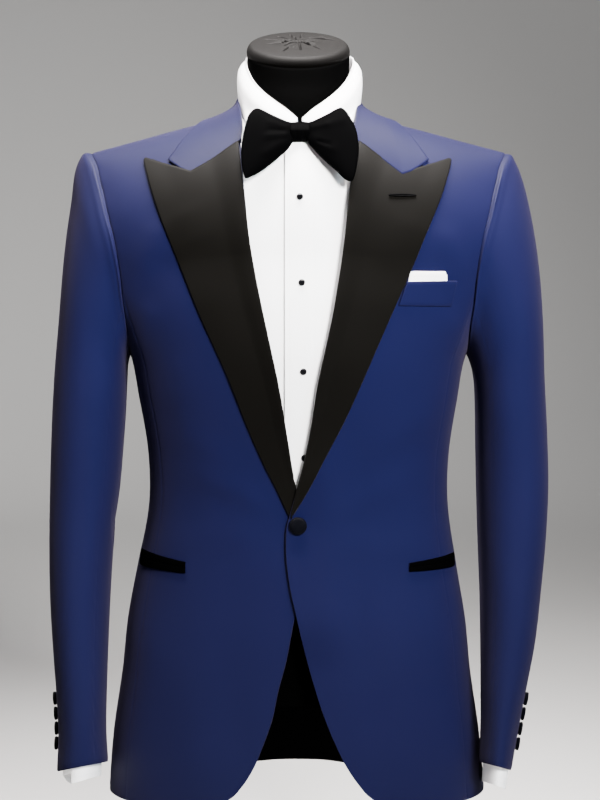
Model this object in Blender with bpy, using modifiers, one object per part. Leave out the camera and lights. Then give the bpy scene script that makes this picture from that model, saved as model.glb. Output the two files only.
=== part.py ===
"""A one-button dinner jacket with peak lapels, a dress shirt and a bow tie, worn by a limbless dress form.

Blender 4.5, metres, +Z up. The wearer faces -Y, so the wearer's left is +X. The stand's base lies on Z = 0.
Tables and sizes are in millimetres, with heights counted from the jacket's hem, and are scaled once by MM.
Cloth pieces are grids of points on one body surface, moved out by their place in the layers, with Solidify.
"""

import math

import bmesh
import bpy
import numpy as np
from mathutils import Vector

MM = 0.001
HEM_ABOVE_BASE = 150.0

# Walls and the layers from the jacket's face inwards, in millimetres
JACKET_WALL = 1.8
LAPEL_WALL = 1.6
SHIRT_WALL = 1.2
LINING_WALL = 1.0
LINING_GAP = 0.6
LINING_LOW = 5.0
LINING_TOP = 260.0
SEAM_HALF_GAP = 0.3
SEAM_SPAN = 0.045
LAY_GAP = 0.4
LAPEL_GAP = 1.5
MERGE_MM = 0.02
SHIRT_DEPTH_SHOULDER = 2.5
SHIRT_DEPTH_BODY = 7.0

# The body surface: level rings of superellipses below the arms, an arch over the shoulders above
ROUNDNESS = 2.3
SHOULDER_DROP = 0.27
DROP_START = 470.0
CHEST_TOP = 580.0
SHOULDER_TOP = 742.0
ARCH_ROUNDNESS = 2.2
ARCH_DEPTH = 118.0
TAPE_MM_PER_DEGREE = 2.5
BODY_CENTRE = np.array([0.0, 0.0, 400.0])


def table(names, rows):
    """Columns of a short table, by name."""
    return dict(zip(names.split(), np.array(rows, float).T))


BODY_RINGS = table(
    "height half_width front_depth back_depth",
    [
        (0, 200, 128, 132),
        (60, 194, 124, 130),
        (130, 184.5, 120, 127),
        (180, 179.5, 117, 122),
        (240, 169.5, 112, 115),
        (310, 160.4, 108, 108),
        (365, 162, 112, 112),
        (420, 171, 120, 118),
        (465, 180, 125, 122),
        (520, 205, 124, 121),
        (580, 228, 118, 118),
        (640, 240, 118, 118),
        (742, 242, 118, 118),
    ],
)

ARMHOLE = table(
    "height half_width",
    [
        (440, 180),
        (468, 180),
        (498, 180.6),
        (533, 184),
        (568, 186.5),
        (599, 190),
        (627, 194),
        (655, 199.4),
        (685, 204.7),
        (709, 210),
        (725, 214),
        (742, 221.5),
    ],
)
ARMHOLE_BOTTOM = 468.0
SEAM_TOP = 545.0

# Heights of the rows that every body panel shares, and the angles of the rows over the shoulder
BODY_ROWS = [0, 5, 14, 32, 58, 92, 130, 172, 215, 260, 310, 355, 400, 440, 468, 505, SEAM_TOP, CHEST_TOP]
ARCH_ROWS = [12, 25, 38, 50, 61, 71, 80, 89.75]
UNDERARM_ROW = 440.0
FRONT_COLUMNS = 9
BACK_COLUMNS = 8

# How far each front reaches past the centre line, from the rounded quarter up to the neck
FRONT_EDGE_LEFT = table(
    "height reach",
    [
        (0, 118),
        (1, 107),
        (4, 94),
        (8.5, 83.5),
        (13, 76.2),
        (28, 62.3),
        (48, 49),
        (74.5, 36),
        (111, 22),
        (139, 13.5),
        (174, 4.2),
        (204, -2.8),
        (226, -7.8),
        (243, -10.5),
        (262, -12.4),
        (277, -12.7),
        (291, -12),
        (305, -8.5),
        (334, -1.5),
        (370, 7.6),
        (405, 14),
        (443, 20),
        (487, 29),
        (529, 38),
        (584, 45.4),
        (657, 52.6),
        (719, 62),
        (742, 67.5),
    ],
)
FRONT_EDGE_RIGHT = table(
    "height reach",
    [
        (0, 120),
        (1, 107),
        (4, 91.5),
        (8.5, 78.5),
        (13, 70.9),
        (26.3, 58.5),
        (45, 46.8),
        (67, 37.4),
        (94, 27.8),
        (125.5, 21),
        (151, 14),
        (190, 6.2),
        (210, 1.5),
        (250, -8),
        (285, -13),
        (305, -9),
        (332, 2),
        (361, 7.7),
        (401, 13.4),
        (445, 21),
        (486, 30),
        (533, 40.2),
        (593, 49.5),
        (660, 56),
        (719, 62),
        (742, 67.5),
    ],
)

# The lapels, from the closing point up to the gorge: roll line and outer edge
LAPEL_LEFT = table(
    "roll roll_height edge edge_height",
    [
        (-8.5, 303, -6, 304.5),
        (-1.5, 334, 9, 330),
        (5.2, 360, 24.4, 360),
        (11.5, 391.5, 45.5, 400),
        (20.3, 446, 67.5, 449.5),
        (32.3, 501, 92, 507),
        (40.7, 550, 113, 560),
        (47, 598, 130, 612),
        (52.5, 655, 147, 665),
        (61.5, 704, 160.5, 716),
    ],
)
LAPEL_RIGHT = table(
    "roll roll_height edge edge_height",
    [
        (-8.5, 305, 10, 304),
        (2, 332, 22.5, 332),
        (6.5, 355, 36, 359),
        (12, 391.5, 52.5, 397),
        (20, 440.5, 71.5, 447),
        (32.5, 499, 97, 504),
        (42.5, 549, 117, 559),
        (50, 597, 132, 605.5),
        (56, 655, 147, 656),
        (61.5, 704, 163, 718),
    ],
)
GORGE_DIP = 24.8
GORGE_AT = 0.48
LAPEL_ROLL = 3.4
PEAK_LIFT = 1.0

# The left front laps over the right, lifted by the layers beneath it
LAP_LIFT = 5.2
LAP_FADE_WIDTH = (24.0, 70.0)
LAP_HEIGHTS = (140.0, 200.0, 335.0, 400.0)

# The jacket's collar, from the gorge round to the centre back. The seam is its place on the neck edge, the
# rise is the fold's height over it, and the edge is where the fall ends; tapes are read by on_tape.
COLLAR_ROWS = table(
    "seam_x seam_tape rise edge_x edge_tape",
    [
        (61.5, 49, 3, 135.5, 49.6),
        (63.0, 60, 9, 122, 61),
        (65.0, 71, 16, 109, 74),
        (66.5, 82, 20, 99, 87),
        (66.5, 92, 24, 92, 99),
        (60.5, 102, 30, 84, 110),
        (48.0, 113, 37, 68, 119),
        (27.0, 123, 43, 40, 125),
        (0.0, 127.5, 45, 0, 127.5),
    ],
)
NECK_CENTRE_Y = -8.0
JACKET_NECK_HALF = (67.5, 82.0)
COLLAR_NOTCH_DIP = 8.6
COLLAR_NOTCH_AT = 0.67
COLLAR_FALL_OUT = 3.4

SLEEVE_LEFT = table(
    "outer outer_height inner inner_height half_depth centre_y",
    [
        (221.5, 682, 180, 468, 76, 0),
        (229.5, 676, 183.5, 461, 75, -1),
        (238, 659, 185.5, 455, 73.5, -2),
        (246.5, 629, 187, 449, 72, -3),
        (253.5, 590, 188, 443, 70.5, -4),
        (259, 545, 189, 436, 69, -5),
        (262.5, 495, 189.5, 425, 67.5, -6),
        (264, 440, 190, 402, 66, -7),
        (266.5, 382, 190.3, 372, 65, -8),
        (267.5, 325, 190.9, 322, 64, -11),
        (264, 266, 192, 266, 62.5, -17),
        (258.3, 214, 193.6, 214, 61, -25),
        (251.5, 162, 194, 164, 59.5, -34),
        (241, 111, 193.8, 115, 58.5, -43),
        (232, 68, 193.3, 76, 57.5, -50),
        (224.5, 29, 191.3, 37.5, 57, -57),
    ],
)
SLEEVE_RIGHT = table(
    "outer outer_height inner inner_height half_depth centre_y",
    [
        (221.5, 682, 180, 468, 76, 0),
        (232, 678, 182.5, 462, 75, -1),
        (239.5, 661, 183.5, 457, 73.5, -2),
        (243.5, 631, 184, 452, 72, -3),
        (248, 598, 184.3, 447, 70.5, -4),
        (252.5, 556, 184.5, 440, 69, -5),
        (257, 505, 184.8, 428, 67.5, -6),
        (261.5, 450, 185.5, 408, 66, -7),
        (264.4, 390, 187.5, 378, 65, -8),
        (266, 325, 192, 322, 64, -11),
        (266.3, 264, 198, 264, 62.5, -17),
        (264.8, 210, 201.3, 208, 61, -25),
        (261, 156, 203, 156, 59, -34),
        (256.5, 106, 204, 108, 57, -43),
        (254, 66, 204, 71, 56, -50),
        (255, 28, 201.5, 38, 55, -57),
    ],
)
SLEEVE_ROUNDNESS = 2.2
SLEEVE_TILT = 0.2
SLEEVE_TILT_ROWS = (9, 15)
SLEEVE_CAP_ROWS = 6
FRONT_SEAM_ANGLE = 128.0
BACK_SEAM_ANGLE_TOP = -62.0
BACK_SEAM_ANGLE_CUFF = -24.0
SLEEVE_GAP_AT_ARMHOLE = 0.35
SLEEVE_SEAM_HALF_ANGLE = 0.3

# Shirt sleeves lie inside the jacket's, and the cuffs come out below them
SHIRT_SLEEVE_INSET = 6.4
SHIRT_SLEEVE_START = 1.2
SHIRT_ARMHOLE_SHY = 5.0
SHIRT_ARMHOLE_GAP = 1.9
SHIRT_ARMHOLE_BOTTOM = 482.0
SHIRT_ARMHOLE_ROUND = 50.0
SHIRT_UNDERARM_INSET = 8.0
SHIRT_SLEEVE_END = 13.0
CUFF_START = 12.4
SHIRT_TUBE_COLUMNS = 14
CUFF_INSET = 4.5
CUFF_END_LEFT = (218.5, 9, 194.5, 17, 46, -57)
CUFF_END_RIGHT = (248.5, 12, 209.5, 23, 48, -57)

SHIRT_ROWS = [262, 330, 400, 468, 505, SEAM_TOP, CHEST_TOP]
SHIRT_ARCH_ROWS = [14, 30, 50, 61, 71, 80, 89.75]
SHIRT_NECK_HALF = (58.5, 71.0)
SHIRT_SEAM_HALF_ANGLE = 0.15
PLACKET_LEFT = -14.0
PLACKET_RIGHT = 14.0
PLACKET_LIFT = 3.0

SHIRT_COLLAR_ROWS = table(
    "angle fold_height",
    [(0, 713), (12, 723.5), (25, 732.5), (46, 747), (60, 757.5), (75, 770), (90, 780), (130, 789), (180, 791)],
)
SHIRT_BAND_OUT = 2.0
SHIRT_BAND_DROP = (13.0, 34.0)
SHIRT_COLLAR_REST = 1.6
SHIRT_LEAF = ((0.04, 5.6), (0.3, 12.5), (0.62, 12.8), (1.0, 10.5))
SHIRT_COLLAR_OPEN = 4.0
SHIRT_POINT_ANGLE = 33.0
SHIRT_LEAF_DROP = 43.0

TIE_CENTRE = (1.5, -91.0, 701.4)
TIE_LEAN = 0.38
TIE_SECTIONS = table(
    "along half_height half_thick rise forward",
    [
        (7.5, 10.8, 4, -0.4, 0),
        (14, 15.7, 6.2, -4.5, 1),
        (28, 25.4, 8, -7.6, 3),
        (43, 34.3, 7, -9.5, 6),
        (52, 33.6, 5, -15, 9),
        (56, 30.5, 4.2, -18, 10.2),
        (59, 20, 3, -21, 11),
        (60.8, 9, 1.8, -21.5, 11.6),
    ],
)
KNOT_HALF = (10.4, 7.0, 10.6)

BUTTON_RADIUS = 9.2
BUTTON_HEIGHT = 5.0
BUTTON_SHANK = 0.9
BUTTON_AT = (-0.5, 294.0)
SLEEVE_BUTTON_RADIUS = 7.2
SLEEVE_BUTTON_HEIGHT = 4.2
SLEEVE_BUTTON_HEIGHTS = (101.0, 85.5, 70.0, 54.5)
SLEEVE_BUTTON_ANGLE = -7.0
STUD_RADIUS = 3.5
STUD_HEIGHT = 2.6
STUDS = table("x height shank", [(1.5, 634.5, -0.4), (3.4, 546, 0.26), (5.1, 453.5, -0.7), (6.2, 363.5, 0.9)])
TURNED_STEPS = 12

# Form: rings of the body surface moved in, and the neck
FORM_BOTTOM = 100.0
FORM_RINGS = table(
    "height inset",
    [
        (100, 34),
        (140, 29),
        (190, 24),
        (240, 18),
        (310, 14.5),
        (370, 14.5),
        (430, 14),
        (490, 16),
        (540, 15),
        (580, 13),
    ],
)
FORM_SHOULDER_INSET = 11.0
FORM_ARCH_ROWS = [25, 38, 50, 61, 71, 80, 88.5]
FORM_RIDGE_HALF = 0.6
FORM_SIDE_CLEARANCE = 13.0
FORM_TOP_CLEARANCE = 4.3
FORM_POINTS = 24
NECK_POINTS = 20
NECK_RINGS = table(
    "height half_x half_y centre_y tilt",
    [
        (672, 52.5, 60, -6, 0),
        (726, 52.8, 60, -7, 3),
        (745, 52.8, 58, -4, 9),
        (767, 54, 56, 2, 16),
        (789.4, 54, 55, 7, 22),
    ],
)
CAP_HALF = (55.0, 57.5)
CAP_CENTRE = (0.0, 7.0, 790.0)
CAP_TILT = 22.0
CAP_THICK = 11.0
CAP_GATHERS = 10

POST_RADIUS = 6.0
POST_X = 104.0
POST_Y = 6.0
BASE_RADIUS = 165.0
BASE_THICK = 8.0

COLOURS = {
    "jacket_wool": ((0.030, 0.052, 0.130), 0.85),
    "black_satin": ((0.010, 0.010, 0.011), 0.35),
    "shirt_cotton": ((0.80, 0.80, 0.82), 0.75),
    "form_jersey": ((0.013, 0.013, 0.014), 0.9),
    "cap_cloth": ((0.05, 0.045, 0.042), 0.9),
    "stud_black": ((0.01, 0.01, 0.01), 0.2),
    "stand_steel": ((0.03, 0.03, 0.032), 0.4),
}


def clear_scene():
    for old in list(bpy.data.objects):
        bpy.data.objects.remove(old, do_unlink=True)


def material(name):
    """The Principled material of one finish."""
    made = bpy.data.materials.get(name)
    if made is None:
        colour, roughness = COLOURS[name]
        made = bpy.data.materials.new(name)
        made.use_nodes = True
        shader = made.node_tree.nodes["Principled BSDF"]
        shader.inputs["Base Color"].default_value = (*colour, 1.0)
        shader.inputs["Roughness"].default_value = roughness
        made.diffuse_color = (*colour, 1.0)
    return made


def smooth(at, xs, ys):
    """A curve through the points (xs, ys), with slopes that run on from span to span."""
    at = np.clip(np.asarray(at, float), xs[0], xs[-1])
    slopes = np.gradient(ys, xs)
    span = np.clip(np.searchsorted(xs, at, side="right") - 1, 0, len(xs) - 2)
    width = xs[span + 1] - xs[span]
    t = (at - xs[span]) / width
    rise = ys[span + 1] - ys[span]
    start = slopes[span] * width
    end = slopes[span + 1] * width
    return ys[span] + t * start + t**2 * (3 * rise - 2 * start - end) + t**3 * (start + end - 2 * rise)


def ease(at, low, high):
    """0 at low and 1 at high, with a soft start and end."""
    t = np.clip((np.asarray(at, float) - low) / (high - low), 0, 1)
    return t * t * (3 - 2 * t)


def mix(a, b, t):
    return a + (b - a) * t


# ---- the body surface ----


def half_width(height):
    return smooth(height, BODY_RINGS["height"], BODY_RINGS["half_width"])


def depth(height, side):
    """Depth of the body in front (side -1) or behind (side +1) at a height before the shoulder drop."""
    height = np.asarray(height, float)
    column = np.where(
        np.asarray(side) < 0,
        smooth(height, BODY_RINGS["height"], BODY_RINGS["front_depth"]),
        smooth(height, BODY_RINGS["height"], BODY_RINGS["back_depth"]),
    )
    t = np.clip((height - CHEST_TOP) / (SHOULDER_TOP - CHEST_TOP), 0, 1)
    arch = ARCH_DEPTH * (1 - t**ARCH_ROUNDNESS) ** (1 / ARCH_ROUNDNESS)
    return np.where(height > CHEST_TOP, arch, column)


def drop(height):
    return SHOULDER_DROP * ease(height, DROP_START, SHOULDER_TOP)


def arch_height(degrees):
    """Height of a row over the shoulder, from its angle: 0 at the chest, 90 on the ridge."""
    rise = np.sin(np.radians(degrees)) ** (2 / ARCH_ROUNDNESS)
    return CHEST_TOP + (SHOULDER_TOP - CHEST_TOP) * rise


def tape_of(height, side=-1):
    """The place on the tape of a front or back height; see on_tape."""
    height = np.asarray(height, float)
    t = np.clip((height - CHEST_TOP) / (SHOULDER_TOP - CHEST_TOP), 0, 1)
    arch = np.degrees(np.arcsin(t ** (ARCH_ROUNDNESS / 2)))
    tape = np.where(height < CHEST_TOP, (height - CHEST_TOP) / TAPE_MM_PER_DEGREE, arch)
    return np.where(np.asarray(side) < 0, tape, 180 - tape)


def on_tape(x, tape):
    """A point of the body surface. The tape runs up the front, over the shoulder at 90, and down the back."""
    x, tape = np.broadcast_arrays(np.asarray(x, float), np.asarray(tape, float))
    side = np.where(tape < 90, -1, 1)
    front = np.where(tape < 90, tape, 180 - tape)
    height = np.where(
        front < 0,
        CHEST_TOP + front * TAPE_MM_PER_DEGREE,
        arch_height(np.maximum(front, 0)),
    )
    share = np.clip(1 - (np.abs(x) / half_width(height)) ** ROUNDNESS, 0, 1) ** (1 / ROUNDNESS)
    y = side * depth(height, side) * share
    return np.stack([x, y, height - drop(height) * np.abs(x)], axis=-1)


def unit(vectors):
    return vectors / np.maximum(np.linalg.norm(vectors, axis=-1, keepdims=True), 1e-9)


def cloth_at(x, tape, out):
    """A point at the distance out from the body surface, along its normal."""
    x, tape, out = np.broadcast_arrays(
        np.asarray(x, float), np.asarray(tape, float), np.asarray(out, float)
    )
    step_x, step_tape = 1.0, 0.4
    across = on_tape(x + step_x, tape) - on_tape(x - step_x, tape)
    along = on_tape(x, tape + step_tape) - on_tape(x, tape - step_tape)
    return on_tape(x, tape) + unit(np.cross(across, along)) * out[..., None]


def ring_point(height, degrees):
    """A point of the body at a height and an angle from the front; +90 is the wearer's left side."""
    height, degrees = np.broadcast_arrays(np.asarray(height, float), np.asarray(degrees, float))
    sine, cosine = np.sin(np.radians(degrees)), np.cos(np.radians(degrees))
    deep = np.maximum(depth(height, np.where(cosine > 0, -1, 1)), 0.01)
    radius = (
        (np.abs(sine) / half_width(height)) ** ROUNDNESS + (np.abs(cosine) / deep) ** ROUNDNESS
    ) ** (-1 / ROUNDNESS)
    x = radius * sine
    return np.stack([x, -radius * cosine, height - drop(height) * np.abs(x)], axis=-1)


def angle_at(x, height, side):
    """The angle of ring_point where the ring has this x, in front or behind."""
    share = np.clip(1 - (np.abs(x) / half_width(height)) ** ROUNDNESS, 0, 1) ** (1 / ROUNDNESS)
    y = side * depth(height, side) * share
    return np.degrees(np.arctan2(x, -y))


def armhole_x(height):
    return smooth(height, ARMHOLE["height"], ARMHOLE["half_width"])


def armhole_height(degrees, shy):
    """The height at which the armhole crosses this angle, by halving the span."""
    low = np.full(np.shape(degrees), UNDERARM_ROW)
    high = np.full(np.shape(degrees), CHEST_TOP)
    for _ in range(30):
        middle = (low + high) / 2
        outside = ring_point(middle, degrees)[..., 0] > armhole_x(middle) - shy
        high = np.where(outside, middle, high)
        low = np.where(outside, low, middle)
    return low


def body_cloth(height, degrees, out):
    """A point at the distance out from ring_point, along the surface's normal there."""
    height, degrees, out = np.broadcast_arrays(
        np.asarray(height, float), np.asarray(degrees, float), np.asarray(out, float)
    )
    start = ring_point(height, degrees)
    step_height, step_degrees = 1.0, 0.5
    low = np.maximum(height - step_height, 0.0)
    up = ring_point(height + step_height, degrees) - ring_point(low, degrees)
    across = ring_point(height, degrees + step_degrees) - ring_point(height, degrees - step_degrees)
    below_arch = start + unit(np.cross(across, up)) * out[..., None]
    side = np.where(np.cos(np.radians(degrees)) > 0, -1, 1)
    over_arch = cloth_at(start[..., 0], tape_of(height, side), out)
    return np.where((height > CHEST_TOP)[..., None], over_arch, below_arch)


def spread(columns):
    """Shares from 0 to 1 whose first and last spans are short, so that a seam's wall stands square to it."""
    inner = np.linspace(SEAM_SPAN, 1 - SEAM_SPAN, columns - 2)
    return np.concatenate([[0.0], inner, [1.0]])[None, :]


# ---- meshes ----


def new_object(name, mesh, finish, collection):
    made = bpy.data.objects.new(name, mesh)
    mesh.materials.append(material(finish))
    collection.objects.link(made)
    return made


def mesh_from(name, points, faces):
    """A mesh of points in millimetres above the hem, put in metres above the base."""
    mesh = bpy.data.meshes.new(name)
    placed = (points + np.array([0.0, 0.0, HEM_ABOVE_BASE])) * MM
    mesh.from_pydata(placed.tolist(), [], faces)
    mesh.update()
    mesh.shade_smooth()
    return mesh


def grid_faces(rows, columns, wrap=False, flip=False):
    spans = columns if wrap else columns - 1
    faces = []
    for i in range(rows - 1):
        for j in range(spans):
            k = (j + 1) % columns
            face = [i * columns + j, i * columns + k, (i + 1) * columns + k, (i + 1) * columns + j]
            faces.append(face[::-1] if flip else face)
    return faces


def grid_faces_out(points, centre):
    """Whether the faces of grid_faces point away from the centre as they stand."""
    rows = np.gradient(points, axis=0)
    columns = np.gradient(points, axis=1)
    return (np.cross(columns, rows) * (points - centre)).sum() > 0


def sheet(name, points, wall, finish, collection, centre=BODY_CENTRE, wrap=False, flip=None):
    """A cloth piece: a grid of points on its outer face, with a wall behind it."""
    rows, columns = points.shape[:2]
    if flip is None:
        flip = not grid_faces_out(points, centre)
    mesh = mesh_from(name, points.reshape(-1, 3), grid_faces(rows, columns, wrap, flip))
    made = new_object(name, mesh, finish, collection)
    add_wall(made, wall)
    return made


def add_wall(made, wall):
    """Gives an open surface its thickness, behind the face that it shows."""
    solidify = made.modifiers.new("wall", "SOLIDIFY")
    solidify.thickness = wall * MM
    solidify.offset = -1
    solidify.use_quality_normals = True


def merge_doubles(mesh):
    work = bmesh.new()
    work.from_mesh(mesh)
    bmesh.ops.remove_doubles(work, verts=work.verts, dist=MERGE_MM * MM)
    work.to_mesh(mesh)
    work.free()


def loft(name, rings, finish, collection, centre=BODY_CENTRE, flip=None):
    """A closed body through rings of equal count, with its two ends filled."""
    count, columns = rings.shape[:2]
    if flip is None:
        flip = not grid_faces_out(rings, rings.reshape(-1, 3).mean(axis=0))
    faces = grid_faces(count, columns, wrap=True, flip=flip)
    first = list(range(columns))
    last = list(range((count - 1) * columns, count * columns))
    faces.append(first if flip else first[::-1])
    faces.append(last[::-1] if flip else last)
    mesh = mesh_from(name, rings.reshape(-1, 3), faces)
    return new_object(name, mesh, finish, collection)


def turned(name, profile, steps, finish, collection, at, towards):
    """A turned piece: a profile of (radius, height) pairs from the top centre to the bottom centre."""
    mesh = bpy.data.meshes.new(name)
    points = [(radius * MM, 0.0, height * MM) for radius, height in profile]
    mesh.from_pydata(points, [(i, i + 1) for i in range(len(points) - 1)], [])
    made = new_object(name, mesh, finish, collection)
    screw = made.modifiers.new("turn", "SCREW")
    screw.steps = steps
    screw.render_steps = steps
    screw.use_merge_vertices = True
    screw.merge_threshold = 0.00001
    screw.use_smooth_shade = True
    made.location = (np.array(at) + np.array([0.0, 0.0, HEM_ABOVE_BASE])) * MM
    made.rotation_euler = Vector(towards).to_track_quat("Z", "Y").to_euler()
    return made


def button_profile(radius, height):
    return [
        (0.0, height),
        (0.62 * radius, 0.93 * height),
        (0.92 * radius, 0.66 * height),
        (radius, 0.38 * height),
        (0.78 * radius, 0.0),
        (0.0, 0.0),
    ]


def mirrored(points):
    return points * np.array([-1.0, 1.0, 1.0])


# ---- jacket body ----


def front_rows():
    return np.array(BODY_ROWS + [float(arch_height(a)) for a in ARCH_ROWS])


def lap_lift(x, height):
    """How far the left front and its lapel stand out over the right front."""
    across = 1 - ease(x, *LAP_FADE_WIDTH)
    low, full_low, full_high, high = LAP_HEIGHTS
    return LAP_LIFT * across * ease(height, low, full_low) * (1 - ease(height, full_high, high))


def outer_angle(heights, side, seam_angle, shy):
    """The outer boundary of a front or back panel: its seam, then the armhole."""
    at_armhole = angle_at(armhole_x(heights) - shy, heights, side)
    return np.where(heights <= SEAM_TOP, seam_angle, at_armhole)


def seam_shift(heights, degrees, gap):
    """The change of angle that moves a point sideways by gap."""
    radius = np.linalg.norm(ring_point(heights, degrees)[..., :2], axis=-1)
    return np.degrees(gap / radius)


def seam_angle(side):
    return float(angle_at(armhole_x(SEAM_TOP), np.array(SEAM_TOP), side))


def front_grid(edge, columns):
    """A front: rows at the shared heights, from the front edge or roll line to the side seam or armhole."""
    heights = front_rows()
    inner = angle_at(smooth(heights, edge["height"], edge["reach"]), heights, -1)
    outer = outer_angle(heights, -1, seam_angle(-1), SEAM_HALF_GAP)
    outer = outer - np.where(heights <= SEAM_TOP, seam_shift(heights, outer, SEAM_HALF_GAP), 0)
    return heights[:, None], mix(inner[:, None], outer[:, None], spread(columns))


def back_grid(columns):
    """A back: rows at the shared heights, from the centre back seam or neck to the side seam or armhole."""
    heights = front_rows()
    outer = outer_angle(heights, 1, seam_angle(1), SEAM_HALF_GAP)
    outer = outer + np.where(heights <= SEAM_TOP, seam_shift(heights, outer, SEAM_HALF_GAP), 0)
    inner = angle_at(np.maximum(neck_hole_x(heights, 1, JACKET_NECK_HALF), SEAM_HALF_GAP), heights, 1)
    return heights[:, None], mix(inner[:, None], outer[:, None], spread(columns))


def neck_hole_x(heights, side, half):
    """Where a row of the body surface enters the neck hole, an ellipse seen from above."""
    y = side * depth(heights, side)
    share = np.clip(1 - ((y - NECK_CENTRE_Y) / half[1]) ** 2, 0, 1)
    return half[0] * np.sqrt(share)


def side_grid(columns):
    """A side body: level rows up to the underarm, then rows squeezed under the armhole's curve."""
    heights = np.array([h for h in BODY_ROWS if h <= SEAM_TOP], float)
    front = seam_angle(-1) + seam_shift(heights, seam_angle(-1), SEAM_HALF_GAP)
    back = seam_angle(1) - seam_shift(heights, seam_angle(1), SEAM_HALF_GAP)
    degrees = mix(front[:, None], back[:, None], spread(columns))
    top = armhole_height(degrees, SEAM_HALF_GAP)
    share = np.clip((heights[:, None] - UNDERARM_ROW) / (SEAM_TOP - UNDERARM_ROW), 0, None)
    squeezed = UNDERARM_ROW + share * (top - UNDERARM_ROW)
    return np.where(heights[:, None] > UNDERARM_ROW, squeezed, heights[:, None]), degrees


def make_jacket_body(parts):
    heights, degrees = front_grid(FRONT_EDGE_LEFT, FRONT_COLUMNS)
    lift = lap_lift(ring_point(heights, degrees)[..., 0], heights)
    left = body_cloth(heights, degrees, lift)
    sheet("front_left", left, JACKET_WALL, "jacket_wool", parts)
    right = body_cloth(*front_grid(FRONT_EDGE_RIGHT, FRONT_COLUMNS), 0.0)
    sheet("front_right", mirrored(right), JACKET_WALL, "jacket_wool", parts)
    side = body_cloth(*side_grid(5), 0.0)
    back = body_cloth(*back_grid(BACK_COLUMNS), 0.0)
    for label, place in (("left", lambda p: p), ("right", mirrored)):
        sheet(f"side_{label}", place(side), JACKET_WALL, "jacket_wool", parts)
        sheet(f"back_{label}", place(back), JACKET_WALL, "jacket_wool", parts)


def make_lining(parts):
    """The back lining, inside the two backs; its columns are theirs, so that it lies along them."""
    heights, degrees = back_grid(BACK_COLUMNS)
    kept = (heights[:, 0] >= LINING_LOW) & (heights[:, 0] <= LINING_TOP)
    half = body_cloth(heights[kept], degrees[kept][:, 2:-2], -(JACKET_WALL + LINING_GAP))
    whole = np.concatenate([mirrored(half)[:, ::-1], half], axis=1)
    sheet("lining_back", whole, LINING_WALL, "black_satin", parts)


# ---- lapels, collar, pockets ----


def lapel_grid(rows, columns, lapel, lifted):
    """A lapel: rows from the closing point to the gorge, each from the roll line to the outer edge."""
    t = np.linspace(0, 1, rows)
    key = np.linspace(0, 1, len(lapel["roll"]))
    across = np.linspace(0, 1, columns)[None, :]
    x = mix(smooth(t, key, lapel["roll"])[:, None], smooth(t, key, lapel["edge"])[:, None], across)
    height = mix(
        smooth(t, key, lapel["roll_height"])[:, None],
        smooth(t, key, lapel["edge_height"])[:, None],
        across,
    )
    dip = np.minimum(across / GORGE_AT, (1 - across) / (1 - GORGE_AT))
    height = height - GORGE_DIP * dip * ease(t, 0.86, 1.0)[:, None]
    roll = LAPEL_ROLL * (1 - ease(across, 0, 0.3)) * ease(height, 330, 420)
    out = LAPEL_GAP + LAPEL_WALL + roll
    out = out + PEAK_LIFT * ease(across, 0.7, 1.0) * ease(t, 0.8, 1.0)[:, None]
    if lifted:
        out = out + lap_lift(x, height)
    return cloth_at(x, tape_of(height), out)


def make_lapels(parts):
    left = lapel_grid(16, 6, LAPEL_LEFT, lifted=True)
    sheet("lapel_left", left, LAPEL_WALL, "black_satin", parts)
    right = lapel_grid(16, 6, LAPEL_RIGHT, lifted=False)
    sheet("lapel_right", mirrored(right), LAPEL_WALL, "black_satin", parts)


def collar_half(rows, fall):
    """Half of the collar, from the gorge to the centre back: stand, fold, and the fall down to its edge."""
    key = np.linspace(0, 1, len(COLLAR_ROWS["rise"]))
    t = np.linspace(0, 1, rows)
    column = {name: smooth(t, key, values) for name, values in COLLAR_ROWS.items()}
    seam = cloth_at(column["seam_x"] - 2.3, column["seam_tape"], 0.3)
    up = np.stack([0.035 * column["rise"], np.zeros(rows), column["rise"]], axis=1)
    fold = seam + up
    outward = unit(on_tape(column["seam_x"], column["seam_tape"]) - np.array([0, NECK_CENTRE_Y, 0]))
    outward = unit(outward * np.array([1.0, 1.0, 0.0]))
    columns = [seam, mix(seam, fold, 0.55), fold, fold + outward * 1.2 + np.array([0, 0, 1.6])]
    top = fold + outward * 3.4
    for share in np.linspace(0, 1, fall + 1):
        x = mix(column["seam_x"], column["edge_x"], share)
        tape = mix(column["seam_tape"], column["edge_tape"], share)
        dip = min(share / COLLAR_NOTCH_AT, (1 - share) / (1 - COLLAR_NOTCH_AT))
        tape = tape - COLLAR_NOTCH_DIP * dip * (1 - ease(t, 0, 0.11))
        resting = cloth_at(x, tape, COLLAR_FALL_OUT + 1.0 * (1 - share))
        columns.append(mix(top, resting, float(ease(share, -0.15, 0.85))))
    return np.stack(columns, axis=1)


def make_collar(parts):
    half = collar_half(12, 4)
    whole = np.concatenate([half, mirrored(half)[-2::-1]], axis=0)
    sheet("collar", whole, JACKET_WALL, "jacket_wool", parts, flip=False)


def welt(name, corners, wall, finish, parts, out_low, out_high, mirror, columns=5, rows=3):
    """A pocket welt on a front: corners are (x, height), lower then upper, inner end then outer."""
    inner_low, inner_high, outer_low, outer_high = (np.array(c, float) for c in corners)
    up = np.linspace(0, 1, rows)[:, None, None]
    across = np.linspace(0, 1, columns)[None, :, None]
    flat = mix(mix(inner_low, outer_low, across), mix(inner_high, outer_high, across), up)
    out = mix(out_low, out_high, up[..., 0]) + wall
    points = cloth_at(flat[..., 0], tape_of(flat[..., 1]), out * np.ones_like(flat[..., 0]))
    sheet(name, mirrored(points) if mirror else points, wall, finish, parts)


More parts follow.
